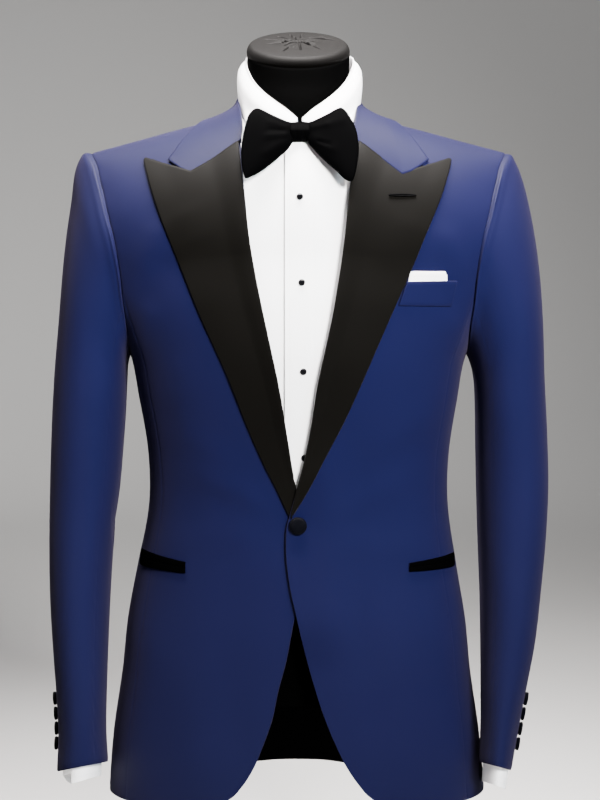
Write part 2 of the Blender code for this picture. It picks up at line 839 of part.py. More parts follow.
def make_pockets(parts):
    hip = ((111, 242), (111, 253.5), (163, 239.5), (163, 251))
    welt("hip_welt_left", hip, 1.6, "black_satin", parts, 1.3, 1.3, False)
    welt("hip_welt_right", hip, 1.6, "black_satin", parts, 1.3, 1.3, True)
    breast = ((103.8, 524.5), (112.6, 551.5), (160, 525.5), (162.5, 556.5))
    welt("breast_welt", breast, 1.6, "jacket_wool", parts, LAY_GAP + 0.3, 3.0, False, 5, 4)
    square = ((114.2, 543), (116.5, 565.5), (153, 548), (152.5, 568))
    welt("pocket_square", square, 1.6, "shirt_cotton", parts, LAY_GAP, LAY_GAP, False, 5, 4)


# ---- sleeves ----


def sleeve_ring(sleeve, at, degrees):
    """Points of the sleeve at its rows and the angles round it: 0 outer, 90 front, 180 inner, 270 back."""
    at, degrees = np.broadcast_arrays(np.asarray(at, float), np.asarray(degrees, float))
    key = np.arange(len(sleeve["outer"]), dtype=float)
    column = {name: smooth(at, key, values) for name, values in sleeve.items()}
    cosine, sine = np.cos(np.radians(degrees)), np.sin(np.radians(degrees))
    across = np.sign(cosine) * np.abs(cosine) ** (2 / SLEEVE_ROUNDNESS)
    deep = np.sign(sine) * np.abs(sine) ** (2 / SLEEVE_ROUNDNESS)
    centre_x = (column["outer"] + column["inner"]) / 2
    centre_z = (column["outer_height"] + column["inner_height"]) / 2
    x = centre_x + across * (column["outer"] - column["inner"]) / 2
    z = centre_z + across * (column["outer_height"] - column["inner_height"]) / 2
    y = column["centre_y"] - deep * column["half_depth"]
    z = z + SLEEVE_TILT * ease(at, *SLEEVE_TILT_ROWS) * deep * column["half_depth"]
    return np.stack([x, y, z], axis=-1)


def armhole_ring(degrees, shy, inset=0.0):
    """Points of the armhole round the same angles, on the body surface."""
    middle = (SHOULDER_TOP + ARMHOLE_BOTTOM) / 2
    height = middle + (SHOULDER_TOP - middle) * np.cos(np.radians(degrees))
    side = np.where(np.sin(np.radians(degrees)) >= 0, -1, 1)
    x = armhole_x(height) + shy
    tape = tape_of(height, side)
    return cloth_at(x, tape, inset) if inset else on_tape(x, tape)


def sleeve_grid(sleeve, at, degrees, shy=SLEEVE_GAP_AT_ARMHOLE):
    """The sleeve with its cap eased into the armhole over its first rows."""
    ring = sleeve_ring(sleeve, at, degrees)
    first = sleeve_ring(sleeve, np.zeros_like(at), degrees)
    hole = armhole_ring(degrees, shy)
    fade = (1 - ease(at, 0, SLEEVE_CAP_ROWS))[..., None]
    return ring + (hole - first) * fade


def sleeve_panel(sleeve, first_angle, last_angle, columns, rows):
    """A sleeve piece between two seams, whose angles may differ from the cap to the cuff."""
    at = rows[:, None] * np.ones((1, columns))
    down = rows / rows[-1]
    first = mix(first_angle[0], first_angle[1], down)[:, None]
    last = mix(last_angle[0], last_angle[1], down)[:, None]
    degrees = mix(first, last, spread(columns))
    return sleeve_grid(sleeve, at, degrees)


def make_sleeves(parts):
    rows = np.arange(16, dtype=float)
    seam = SLEEVE_SEAM_HALF_ANGLE
    back = (BACK_SEAM_ANGLE_TOP, BACK_SEAM_ANGLE_CUFF)
    front = (FRONT_SEAM_ANGLE, FRONT_SEAM_ANGLE)
    for label, sleeve, place in (
        ("left", SLEEVE_LEFT, lambda p: p),
        ("right", SLEEVE_RIGHT, mirrored),
    ):
        top = sleeve_panel(
            sleeve, (back[0] + seam, back[1] + seam), (front[0] - seam, front[1] - seam), 10, rows
        )
        under = sleeve_panel(
            sleeve,
            (front[0] + seam, front[1] + seam),
            (back[0] + 360 - seam, back[1] + 360 - seam),
            8,
            rows,
        )
        middle = place(sleeve_ring(sleeve, rows, 0) + sleeve_ring(sleeve, rows, 180)) / 2
        middle = middle[:, None, :]
        sheet(f"topsleeve_{label}", place(top), JACKET_WALL, "jacket_wool", parts, middle)
        sheet(f"undersleeve_{label}", place(under), JACKET_WALL, "jacket_wool", parts, middle)


def moved_in(tube, distance):
    """Rings of a tube moved in along its normals, which are taken round each ring and down the tube."""
    around = np.roll(tube, -1, axis=1) - np.roll(tube, 1, axis=1)
    down = np.gradient(tube, axis=0)
    normals = unit(np.cross(around, down))
    outward = tube - tube.mean(axis=1, keepdims=True)
    return tube - normals * np.sign((normals * outward).sum()) * distance


def inner_tube(sleeve, at, columns, inset):
    """Rings inside a sleeve, moved in by inset."""
    degrees = np.arange(columns) * 360.0 / columns
    grid = sleeve_grid(sleeve, at[:, None] * np.ones((1, columns)), degrees[None, :])
    return moved_in(grid, np.asarray(inset, float)[..., None, None])


def shirt_armhole(columns):
    """The ring where a shirt sleeve meets the shirt, on the shirt's own layer, rounded under the arm."""
    degrees = np.arange(columns) * 360.0 / columns
    middle = (SHOULDER_TOP + SHIRT_ARMHOLE_BOTTOM) / 2
    height = middle + (SHOULDER_TOP - middle) * np.cos(np.radians(degrees))
    side = np.where(np.sin(np.radians(degrees)) >= 0, -1, 1)
    x = armhole_x(height) - SHIRT_ARMHOLE_SHY + SHIRT_ARMHOLE_GAP
    ring = cloth_at(x, tape_of(height, side), -shirt_depth(height))
    ring[:, 1] *= np.clip((height - SHIRT_ARMHOLE_BOTTOM) / SHIRT_ARMHOLE_ROUND, 0, 1) ** 0.5
    return ring


def led_to(grid, at, end, start):
    """A tube whose rings are led from the row 'start' on to an end ring of its own."""
    names = "outer outer_height inner inner_height half_depth centre_y"
    degrees = np.arange(grid.shape[1]) * 360.0 / grid.shape[1]
    rows = table(names, [end] * (SLEEVE_TILT_ROWS[1] + 1))
    target = sleeve_ring(rows, np.full(grid.shape[:2], SLEEVE_TILT_ROWS[1]), degrees[None, :])
    return mix(grid, target, ease(at, start, at[-1])[:, None, None])


def make_shirt_sleeves(parts):
    rows = np.array([SHIRT_SLEEVE_START, 3.0, 5.5, 8.0, 10.2, CUFF_START, SHIRT_SLEEVE_END])
    inset = SHIRT_SLEEVE_INSET + SHIRT_UNDERARM_INSET * (1 - ease(rows, 1, 7))
    cuff_rows = np.array([CUFF_START, SHIRT_SLEEVE_END, 14.0, 15.0])
    for label, sleeve, end, place in (
        ("left", SLEEVE_LEFT, CUFF_END_LEFT, lambda p: p),
        ("right", SLEEVE_RIGHT, CUFF_END_RIGHT, mirrored),
    ):
        tube = inner_tube(sleeve, rows, SHIRT_TUBE_COLUMNS, inset)
        tube = place(np.concatenate([shirt_armhole(SHIRT_TUBE_COLUMNS)[None], tube]))
        middle = tube.mean(axis=1, keepdims=True)
        sheet(
            f"shirt_sleeve_{label}", tube, SHIRT_WALL, "shirt_cotton", parts, middle, wrap=True
        )
        cuff = inner_tube(sleeve, cuff_rows, SHIRT_TUBE_COLUMNS, CUFF_INSET)
        cuff = place(led_to(cuff, cuff_rows, end, SHIRT_SLEEVE_END))
        middle = cuff.mean(axis=1, keepdims=True)
        sheet(f"shirt_cuff_{label}", cuff, SHIRT_WALL, "shirt_cotton", parts, middle, wrap=True)


# ---- shirt ----


def shirt_depth(heights):
    """How far the shirt lies inside the jacket's face: close on the shoulders, looser below."""
    return mix(SHIRT_DEPTH_BODY, SHIRT_DEPTH_SHOULDER, ease(heights, 600, 735))


def shirt_rows():
    return np.array(SHIRT_ROWS + [float(arch_height(a)) for a in SHIRT_ARCH_ROWS])


def shirt_panel(side, centre_x, columns):
    """A half of the shirt's front or back: from its centre edge or neck to the side seam or armhole."""
    heights = shirt_rows()
    neck = neck_hole_x(heights, side, SHIRT_NECK_HALF)
    inner = angle_at(np.where(neck > 0, neck, centre_x), heights, side)
    at_armhole = angle_at(armhole_x(heights) - SHIRT_ARMHOLE_SHY, heights, side)
    seam = 90 + side * SHIRT_SEAM_HALF_ANGLE
    outer = np.where(heights <= ARMHOLE_BOTTOM, seam, at_armhole)
    return heights[:, None], mix(inner[:, None], outer[:, None], spread(columns))


def make_shirt(parts):
    columns = 8
    for label, centre_x, lift in (("left", PLACKET_LEFT, PLACKET_LIFT), ("right", -PLACKET_RIGHT, 0.0)):
        heights, degrees = shirt_panel(-1, centre_x, columns)
        x = ring_point(heights, degrees)[..., 0]
        out = lift * (1 - ease(x, 16, 40)) - shirt_depth(heights)
        points = body_cloth(heights, degrees, out)
        points = points if label == "left" else mirrored(points)
        sheet(f"shirt_front_{label}", points, SHIRT_WALL, "shirt_cotton", parts)
    heights, degrees = shirt_panel(1, 0.0, columns)
    half = body_cloth(heights, degrees, -shirt_depth(heights))
    rows = half.shape[0]
    faces = grid_faces(rows, columns, flip=not grid_faces_out(half, BODY_CENTRE))
    other = [[i + rows * columns for i in face[::-1]] for face in faces]
    points = np.concatenate([half.reshape(-1, 3), mirrored(half).reshape(-1, 3)])
    mesh = mesh_from("shirt_back", points, faces + other)
    merge_doubles(mesh)
    add_wall(new_object("shirt_back", mesh, "shirt_cotton", parts), SHIRT_WALL)


def on_neck(degrees, height, out):
    """A point at the distance out from the form's neck, at an angle from the front and a height."""
    radians = np.radians(degrees)
    ring = np.asarray(height, float)
    for _ in range(6):
        row = {name: smooth(ring, NECK_RINGS["height"], values) for name, values in NECK_RINGS.items()}
        y = row["centre_y"] - row["half_y"] * np.cos(radians)
        ring = height - (y - row["centre_y"]) * np.tan(np.radians(row["tilt"]))
    x = (row["half_x"] + out) * np.sin(radians)
    return np.stack([x, row["centre_y"] - (row["half_y"] + out) * np.cos(radians), height], axis=-1)


def in_front(points, clear):
    """The points, those in front drawn forward until each is clear of the body surface."""
    x, z = points[:, 0], points[:, 2]
    height = z.copy()
    for _ in range(12):
        height = np.minimum(z + drop(height) * np.abs(x), SHOULDER_TOP)
    chest = on_tape(x, tape_of(height))[:, 1] - clear
    forward = np.where(points[:, 1] < 0, np.minimum(points[:, 1], chest), points[:, 1])
    return np.stack([x, forward, z], axis=1)


def shirt_collar_points(degrees, slant):
    """Columns of the shirt collar at each angle: band, fold and leaf, whose angle may lead the band's."""
    fold_height = smooth(degrees, SHIRT_COLLAR_ROWS["angle"], SHIRT_COLLAR_ROWS["fold_height"])
    band_drop = mix(SHIRT_BAND_DROP[0], SHIRT_BAND_DROP[1], ease(degrees, 0, 110))
    columns = []
    for share in (1.0, 0.5, 0.0):
        columns.append(on_neck(degrees, fold_height - band_drop * share, SHIRT_BAND_OUT))
    columns.append(on_neck(degrees, fold_height + 1.6, SHIRT_BAND_OUT + 1.6))
    for share, reach in SHIRT_LEAF:
        led = degrees + slant * share
        lower = smooth(led, SHIRT_COLLAR_ROWS["angle"], SHIRT_COLLAR_ROWS["fold_height"])
        height = mix(fold_height, lower, 0.5) - SHIRT_LEAF_DROP * share
        columns.append(in_front(on_neck(led, height, reach), SHIRT_COLLAR_REST))
    return np.stack(columns, axis=1)


def make_shirt_collar(parts):
    degrees = np.array([5.0, 14, 25, 38, 52, 70, 90, 112, 135, 158, 180])
    slant = (SHIRT_POINT_ANGLE - SHIRT_COLLAR_OPEN) * (1 - ease(degrees, 5, 80)) * 0.8
    half = shirt_collar_points(degrees, slant)
    whole = np.concatenate([half, mirrored(half)[-2::-1]], axis=0)
    sheet("shirt_collar", whole, SHIRT_WALL, "shirt_cotton", parts, flip=False)


# ---- bow tie ----


def ellipse_ring(centre, half_thick, half_height, count, roundness=2.3):
    turn = np.arange(count) * 2 * math.pi / count
    y = np.sign(np.cos(turn)) * np.abs(np.cos(turn)) ** (2 / roundness) * half_thick
    z = np.sign(np.sin(turn)) * np.abs(np.sin(turn)) ** (2 / roundness) * half_height
    return centre + np.stack([np.zeros(count), y, z], axis=1)


def make_bow_tie(parts):
    centre = np.array(TIE_CENTRE)
    for label, side in (("left", 1), ("right", -1)):
        rings = []
        for i in range(len(TIE_SECTIONS["along"])):
            row = {name: values[i] for name, values in TIE_SECTIONS.items()}
            middle = centre + np.array([side * row["along"], -row["forward"], row["rise"]])
            ring = ellipse_ring(middle, row["half_thick"], row["half_height"], 14)
            ring[:, 1] += TIE_LEAN * (ring[:, 2] - centre[2])
            rings.append(ring)
        loft(f"tie_wing_{label}", np.array(rings), "black_satin", parts)
    half_x, half_y, half_z = KNOT_HALF
    rings = [
        ellipse_ring(centre + np.array([x * half_x, 0, 0]), half_y * share, half_z * share, 12, 2.6)
        for x, share in ((-0.69, 0.86), (-0.4, 0.98), (0.4, 0.98), (0.69, 0.86))
    ]
    loft("tie_knot", np.array(rings), "black_satin", parts)


# ---- small turned pieces ----


def make_buttons(parts):
    x, height = BUTTON_AT
    out = float(lap_lift(x, height)) + BUTTON_SHANK
    tape = tape_of(height)
    seat = cloth_at(x, tape, out)
    normal = cloth_at(x, tape, 1.0) - cloth_at(x, tape, 0.0)
    profile = button_profile(BUTTON_RADIUS, BUTTON_HEIGHT)
    turned("front_button", profile, TURNED_STEPS, "black_satin", parts, seat, normal)
    for number, (x, height, shank) in enumerate(zip(*STUDS.values()), 1):
        tape = tape_of(height)
        out = -float(shirt_depth(height)) + PLACKET_LIFT + shank
        seat = cloth_at(x, tape, out)
        normal = cloth_at(x, tape, 1.0) - cloth_at(x, tape, 0.0)
        profile = button_profile(STUD_RADIUS, STUD_HEIGHT)
        turned(f"stud_{number}", profile, TURNED_STEPS, "stud_black", parts, seat, normal)


def make_sleeve_buttons(parts):
    profile = button_profile(SLEEVE_BUTTON_RADIUS, SLEEVE_BUTTON_HEIGHT)
    for label, sleeve, sign in (("left", SLEEVE_LEFT, 1.0), ("right", SLEEVE_RIGHT, -1.0)):
        rows = np.arange(16, dtype=float)
        outline = sleeve_ring(sleeve, rows, SLEEVE_BUTTON_ANGLE)[:, 2]
        for number, height in enumerate(SLEEVE_BUTTON_HEIGHTS, 1):
            at = float(np.interp(-height, -outline, rows))
            here = sleeve_ring(sleeve, at, SLEEVE_BUTTON_ANGLE)
            down = sleeve_ring(sleeve, at + 0.1, SLEEVE_BUTTON_ANGLE) - here
            round_it = sleeve_ring(sleeve, at, SLEEVE_BUTTON_ANGLE + 2) - here
            normal = unit(np.cross(down, round_it))
            normal = normal * np.sign(normal[0])
            seat = here + normal * LAY_GAP
            mirror = np.array([sign, 1.0, 1.0])
            turned(
                f"sleeve_button_{label}_{number}", profile, TURNED_STEPS, "black_satin", parts,
                seat * mirror, normal * mirror,
            )


# ---- form and stand ----


def form_ring(height, degrees, inset):
    """A ring of the form: the body surface moved in, and rounded off short of the armholes."""
    sine, cosine = np.sin(np.radians(degrees)), np.cos(np.radians(degrees))
    deep = depth(np.array(float(height)), np.where(cosine > 0, -1, 1))
    inner_depth = np.maximum(deep - inset * deep / np.maximum(deep, 60.0), FORM_RIDGE_HALF)
    radius = (
        (np.abs(sine) / (half_width(height) - inset)) ** ROUNDNESS
        + (np.abs(cosine) / inner_depth) ** ROUNDNESS
    ) ** (-1 / ROUNDNESS)
    widest = armhole_x(max(height, ARMHOLE_BOTTOM)) - FORM_SIDE_CLEARANCE
    limit = widest / np.maximum(np.abs(sine), 1e-6)
    radius = (radius**-8.0 + limit**-8.0) ** (-1 / 8.0)
    x = radius * sine
    z = height - drop(height) * np.abs(x) - FORM_TOP_CLEARANCE * ease(height, CHEST_TOP, SHOULDER_TOP)
    return np.stack([x, -radius * cosine, z], axis=1)


def ridge_caps(count, first):
    """Faces that close a flattened ring along the shoulders, from one end of the ridge to the other."""
    quarter = count // 4
    faces = []
    for i in range(-quarter, quarter):
        a, b = i % count, (i + 1) % count
        c, d = (2 * quarter - i - 1) % count, (2 * quarter - i) % count
        face = [first + k for k in dict.fromkeys((a, b, c, d))]
        faces.append(face)
    return faces


def make_form(parts, cutters):
    """The form's torso, closed along the shoulders, joined with its neck."""
    degrees = np.arange(FORM_POINTS) * 360.0 / FORM_POINTS
    rows = list(zip(FORM_RINGS["height"], FORM_RINGS["inset"]))
    rows += [(float(arch_height(a)), FORM_SHOULDER_INSET) for a in FORM_ARCH_ROWS]
    rings = np.array([form_ring(height, degrees, inset) for height, inset in rows])
    count = rings.shape[1]
    flip = not grid_faces_out(rings, rings.reshape(-1, 3).mean(axis=0))
    faces = grid_faces(len(rings), count, wrap=True, flip=flip)
    faces.append(list(range(count)) if flip else list(range(count))[::-1])
    caps = ridge_caps(count, (len(rings) - 1) * count)
    faces += [face[::-1] for face in caps] if flip else caps
    mesh = mesh_from("form_torso", rings.reshape(-1, 3), faces)
    torso = new_object("form_torso", mesh, "form_jersey", parts)
    radians = np.radians(np.arange(NECK_POINTS) * 360.0 / NECK_POINTS)
    necks = []
    for i in range(len(NECK_RINGS["height"])):
        row = {name: values[i] for name, values in NECK_RINGS.items()}
        y = row["centre_y"] - row["half_y"] * np.cos(radians)
        z = row["height"] + (y - row["centre_y"]) * math.tan(math.radians(row["tilt"]))
        necks.append(np.stack([row["half_x"] * np.sin(radians), y, z], axis=1))
    neck = loft("form_neck_operand", np.array(necks), "form_jersey", cutters)
    neck.hide_render = True
    neck.display_type = "WIRE"
    union = torso.modifiers.new("neck", "BOOLEAN")
    union.operation = "UNION"
    union.object = neck


def make_neck_cap(parts):
    """The cloth-covered cap: rings outwards from its crown, with gathers that run to its middle."""
    count = CAP_GATHERS * 4
    turn = np.arange(count) * 2 * math.pi / count
    profile = ((0.06, 1.0, 0.5), (0.45, 0.99, 1.0), (0.86, 0.92, 0.55), (1.0, 0.5, 0.0), (0.9, 0.0, 0.0))
    tilt = math.radians(CAP_TILT)
    rings = []
    for reach, height, gather in profile:
        ripple = 1.1 * gather * np.cos(turn * CAP_GATHERS)
        x = reach * CAP_HALF[0] * np.sin(turn)
        along = -reach * CAP_HALF[1] * np.cos(turn)
        up = CAP_THICK * height + ripple
        y = along * math.cos(tilt) - up * math.sin(tilt)
        z = along * math.sin(tilt) + up * math.cos(tilt)
        rings.append(np.array(CAP_CENTRE) + np.stack([x, y, z], axis=1))
    loft("neck_cap", np.array(rings), "cap_cloth", parts)


def make_stand(parts):
    """Two posts under the form, and the round base on the ground."""
    bottom = BASE_THICK - HEM_ABOVE_BASE + LAY_GAP
    top = FORM_BOTTOM - LAY_GAP
    for label, x in (("left", POST_X), ("right", -POST_X)):
        profile = [(0, top), (POST_RADIUS, top), (POST_RADIUS, bottom), (0, bottom)]
        turned(f"stand_post_{label}", profile, 12, "stand_steel", parts, (x, POST_Y, 0), (0, 0, 1))
    edge = 1.5
    low = -HEM_ABOVE_BASE
    profile = [
        (0, low + BASE_THICK),
        (BASE_RADIUS - edge, low + BASE_THICK),
        (BASE_RADIUS, low + BASE_THICK - edge),
        (BASE_RADIUS, low),
        (0, low),
    ]
    turned("stand_base", profile, 32, "stand_steel", parts, (0, 0, 0), (0, 0, 1))


def main():
    clear_scene()
    parts = bpy.data.collections.new("tuxedo_on_dress_form")
    cutters = bpy.data.collections.new("operands")
    for collection in (parts, cutters):
        bpy.context.scene.collection.children.link(collection)
    make_jacket_body(parts)
    make_lining(parts)
    make_lapels(parts)
    make_collar(parts)
    make_pockets(parts)
    make_sleeves(parts)
    make_sleeve_buttons(parts)
    make_shirt(parts)
    make_shirt_collar(parts)
    make_shirt_sleeves(parts)
    make_bow_tie(parts)
    make_buttons(parts)
    make_form(parts, cutters)
    make_neck_cap(parts)
    make_stand(parts)


main()
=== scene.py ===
import math

import bpy
import numpy as np
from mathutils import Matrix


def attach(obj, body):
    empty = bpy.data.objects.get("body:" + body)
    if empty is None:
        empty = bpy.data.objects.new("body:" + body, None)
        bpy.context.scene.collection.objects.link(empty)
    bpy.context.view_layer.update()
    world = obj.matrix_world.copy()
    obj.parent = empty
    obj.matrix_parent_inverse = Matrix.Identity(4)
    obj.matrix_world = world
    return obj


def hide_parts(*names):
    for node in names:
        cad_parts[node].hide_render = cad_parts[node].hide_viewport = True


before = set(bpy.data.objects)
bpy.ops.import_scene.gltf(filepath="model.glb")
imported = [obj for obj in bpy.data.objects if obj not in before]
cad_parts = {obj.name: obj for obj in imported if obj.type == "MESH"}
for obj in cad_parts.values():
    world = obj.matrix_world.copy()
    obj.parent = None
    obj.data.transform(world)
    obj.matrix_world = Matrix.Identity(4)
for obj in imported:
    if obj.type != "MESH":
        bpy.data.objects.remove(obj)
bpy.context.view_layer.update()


def table(names, rows):
    """Columns of a short table, by name."""
    return dict(zip(names.split(), np.array(rows, float).T))


# Every shape below is worked out in millimetres above the jacket's hem, x to the wearer's left and
# the front towards -y, and put() turns it into metres above the ground.
MM = 0.001
HEM_ABOVE_BASE = 150.0
SIDES = (("left", 1), ("right", -1))
BODY_MIDDLE = np.array([0.0, 0.0, 400.0])

# the body: rings up to the chest, and from there an arch over the shoulders
ROUNDNESS = 2.3
SHOULDER_DROP = 0.27
DROP_START = 470.0
CHEST_TOP = 580.0
SHOULDER_TOP = 742.0
ARCH_ROUNDNESS = 2.2
ARCH_DEPTH = 118.0
TAPE_MM_PER_DEGREE = 2.5
BODY_RINGS = table("height half_width front_depth back_depth", [
    (0, 200, 128, 132), (60, 194, 124, 130), (130, 184.5, 120, 127), (180, 179.5, 117, 122),
    (240, 169.5, 112, 115), (310, 160.4, 108, 108), (365, 162, 112, 112), (420, 171, 120, 118),
    (465, 180, 125, 122), (520, 205, 124, 121), (580, 228, 118, 118), (640, 240, 118, 118),
    (742, 242, 118, 118),
])
ARMHOLE = table("height half_width", [
    (440, 180), (468, 180), (498, 180.6), (533, 184), (568, 186.5), (599, 190), (627, 194), (655, 199.4),
    (685, 204.7), (709, 210), (725, 214), (742, 221.5),
])
ARMHOLE_BOTTOM = 468.0
SEAM_TOP = 545.0
SEAM_GAP = 0.25
UNDERARM_ROW = 440.0
SIDE_GAP = 0.06  # degrees
ROW_STEP = 4.5
SHOULDER_ROWS = (0.2, 89.75)  # first and last angle of the rows over the shoulder
FULLER_HIP = 4.5
HIP_X = (60, 150)
HIP_SLEEVE_X = -198
HIP_TOP = (215, 330)
HIP_HEM = (-30, -6)
BACK_SAG = ((3.8, 62, 26), (2, -52, 22))  # depth, middle, reach
SAG_TOP = 70
FRONT_UNDER_ROLL = 1.2
PLEAT_RISE = 0.7
LINING_IN_HEM = 2.3
LINING_IN_MORE = 1.9

# the fronts' edges and the lapels, whose rows run from the closing point up to the gorge
FRONT_EDGE_LEFT = table("height reach", [
    (0, 118), (1, 107), (4, 94), (8.5, 83.5), (13, 76.2), (28, 62.3), (48, 49), (74.5, 36), (111, 22),
    (139, 13.5), (174, 4.2), (204, -2.8), (226, -7.8), (243, -10.5), (262, -12.4), (277, -12.7),
    (291, -12), (305, -8.5), (334, -1.5), (370, 7.6), (405, 14), (443, 20), (487, 29), (529, 38),
    (584, 45.4), (657, 52.6), (719, 62), (742, 67.5),
])
FRONT_EDGE_RIGHT = table("height reach", [
    (0, 120), (1, 107), (4, 91.5), (8.5, 78.5), (13, 70.9), (26.3, 58.5), (45, 46.8), (67, 37.4),
    (94, 27.8), (125.5, 21), (151, 14), (190, 6.2), (210, 1.5), (250, -8), (285, -13), (305, -9),
    (332, 2), (361, 7.7), (401, 13.4), (445, 21), (486, 30), (533, 40.2), (593, 49.5), (660, 56),
    (719, 62), (742, 67.5),
])
LAPEL_LEFT = table("roll roll_height edge edge_height", [
    (-8.5, 303, -6, 304.5), (-1.5, 334, 9, 330), (5.2, 360, 24.4, 360), (11.5, 391.5, 45.5, 400),
    (20.3, 446, 67.5, 449.5), (32.3, 501, 92, 507), (40.7, 550, 113, 560), (47, 598, 130, 612),
    (52.5, 655, 147, 665), (61.5, 704, 160.5, 716),
])
LAPEL_RIGHT = table("roll roll_height edge edge_height", [
    (-8.5, 305, 10, 304), (2, 332, 22.5, 332), (6.5, 355, 36, 359), (12, 391.5, 52.5, 397),
    (20, 440.5, 71.5, 447), (32.5, 499, 97, 504), (42.5, 549, 117, 559), (50, 597, 132, 605.5),
    (56, 655, 147, 656), (61.5, 704, 163, 718),
])
GORGE_DIP = 24.8
GORGE_AT = 0.48
LAPEL_ROLL = 3.4
LAPEL_OUT = 3.1
PEAK_LIFT = 1.0
PEAK_ROUND = (0.012, 0.05)
ROLL_RADIUS = 1.7
LAP_LIFT = 5.2
LAP_FADE_WIDTH = (24.0, 70.0)
LAP_HEIGHTS = (140.0, 200.0, 335.0, 400.0)
BUTTONHOLE_AT = (106.5, 656.2)
BUTTONHOLE_HALF = (13.6, 0.9, 3.0)  # half length, half width, rise of an end

# the collar: where its seam and its edge lie, from the gorge to the centre back
COLLAR_ROWS = table("seam_x seam_tape rise edge_x edge_tape", [
    (61.5, 49, 3, 135.5, 49.6), (63, 60, 6, 122, 61), (65, 71, 8, 109, 74), (66.5, 82, 10, 99, 87),
    (66.5, 92, 14, 92, 99), (60.5, 102, 23, 84, 110), (48, 113, 34, 64, 123), (27, 123, 43, 37, 133),
    (0, 127.5, 45, 0, 137.5),
])
NECK_CENTRE_Y = -8.0
JACKET_NECK_HALF = (67.5, 82.0)
COLLAR_NOTCH_DIP = 14.0
COLLAR_NOTCH_AT = 0.67
COLLAR_FALL_OUT = 3.4
COLLAR_CLOSER = 2.4
CLOSER_SHARES = ((0.02, 0.12), (0.42, 0.56))  # where it begins and ends, from the gorge to the centre back
COLLAR_SEAM_SHY = 2.3
COLLAR_STAND_LEAN = 0.035
COLLAR_FOLD_OUT = 3.4
COLLAR_MIDDLE = np.array([0.0, -8.0, 560.0])
COLLAR_SHARES = (0, 0.15, 0.3, 0.45, 0.58, 0.65, 0.67, 0.69, 0.76, 0.88, 1)

# pocket pieces: (x, height) of the inner end, low and high, then of the outer end
HIP_WELT_LEFT = ((115, 243.5), (115, 252), (163, 242.5), (163, 256))
HIP_WELT_RIGHT = ((115, 242), (115, 253), (163, 244), (163, 260))
BREAST_WELT = ((103.2, 524.6), (111.6, 552), (158.8, 525), (162.7, 557))
SQUARE_FRONT = ((111.2, 541), (115.4, 565.5), (152.6, 545), (151.6, 568.4))
SQUARE_BEHIND = ((114, 541), (118.5, 562.5), (154.5, 545), (153.6, 565))

# sleeves, by rows from the shoulder down to the cuff; angles are 0 outer, 90 front, 180 inner
SLEEVE_LEFT = table("outer outer_height inner inner_height half_depth centre_y", [
    (221.5, 682, 180, 468, 76, 0), (229.5, 676, 183.5, 461, 75, -1), (238, 659, 185.5, 455, 73.5, -2),
    (246.5, 629, 187, 449, 72, -3), (253.5, 590, 188, 443, 70.5, -4), (259, 545, 189, 436, 69, -5),
    (262.5, 495, 189.5, 425, 67.5, -6), (264, 440, 190, 402, 66, -7), (266.5, 382, 190.3, 372, 65, -8),
    (267.5, 325, 190.9, 322, 64, -11), (264, 266, 192, 266, 62.5, -17), (258.3, 214, 193.6, 214, 61, -25),
    (251.5, 162, 194, 164, 59.5, -34), (241, 111, 193.8, 115, 58.5, -43), (232, 68, 193.3, 76, 57.5, -50),
    (224.5, 29, 191.3, 37.5, 57, -57),
])
SLEEVE_RIGHT = table("outer outer_height inner inner_height half_depth centre_y", [
    (221.5, 682, 180, 468, 76, 0), (232, 678, 182.5, 462, 75, -1), (239.5, 661, 183.5, 457, 73.5, -2),
    (243.5, 631, 184, 452, 72, -3), (248, 598, 184.3, 447, 70.5, -4), (252.5, 556, 184.5, 440, 69, -5),
    (257, 505, 184.8, 428, 67.5, -6), (261.5, 450, 185.5, 408, 66, -7), (264.4, 390, 187.5, 378, 65, -8),
    (266, 325, 192, 322, 64, -11), (266.3, 264, 198, 264, 62.5, -17), (264.8, 210, 201.3, 208, 61, -25),
    (261, 156, 203, 156, 59, -34), (256.5, 106, 204, 108, 57, -43), (254, 66, 204, 71, 56, -50),
    (255, 28, 201.5, 38, 55, -57),
])
SLEEVE_ROWS = 15
SLEEVE_ROUNDNESS = 2.2
SLEEVE_TILT = 0.2
SLEEVE_TILT_ROWS = (9, 15)
SLEEVE_CAP_ROWS = 6
FRONT_SEAM_ANGLE = 128.0
BACK_SEAM_ANGLES = (-62, -24)
SLEEVE_GAP = 0.08  # degrees
QUIET_SHARE = 0.75  # how much of a sleeve's folds is lost where it faces the body
QUIET_REACH = 38
HEAD_FADE = 24
HEAD_RISE = 1.3
HEAD_AT = 7
HEAD_REACH = 5.5
TAPE_INSET = 2.0
TAPE_EDGES = ((-5, -1.9), (0.1, -1.9))  # past the armhole's edge, out from the body

# the shirt; the leaf's rows are (share of its drop, distance out from the neck)
SHIRT_NECK_HALF = (58.5, 71.0)
SHIRT_DEPTH_SHOULDER = 2.5
SHIRT_DEPTH_BODY = 7.0
SHIRT_ARMHOLE_SHY = 5.0
PLACKET_HALF = 14.0
PLACKET_LIFT = 3.0
SHIRT_COLLAR_ROWS = table("angle fold_height", [
    (0, 713), (12, 723.5), (25, 732.5), (46, 747), (60, 757.5), (75, 770), (90, 780), (130, 789),
    (180, 791),
])
SHIRT_BAND_OUT = 2.0
SHIRT_BAND_DROP = (13.0, 34.0)
SHIRT_COLLAR_REST = 1.6
SHIRT_LEAF = ((0.02, 3.7), (0.07, 6.8), (0.15, 9.8), (0.3, 12.5), (0.62, 13.3), (1.0, 12.0))
SHIRT_POINT_LEAD = 23.2
SHIRT_CLOSING = (600, 735)
SHIRT_BOTTOM = 262
SHIRT_FOLD_HALF = 1.6
SHIRT_COLLAR_SHIFT = 1.3
PLACKET_FADE = (16, 44)
PLACKET_STEP = 0.4
PLACKET_EDGE = (12.6, 14.4)
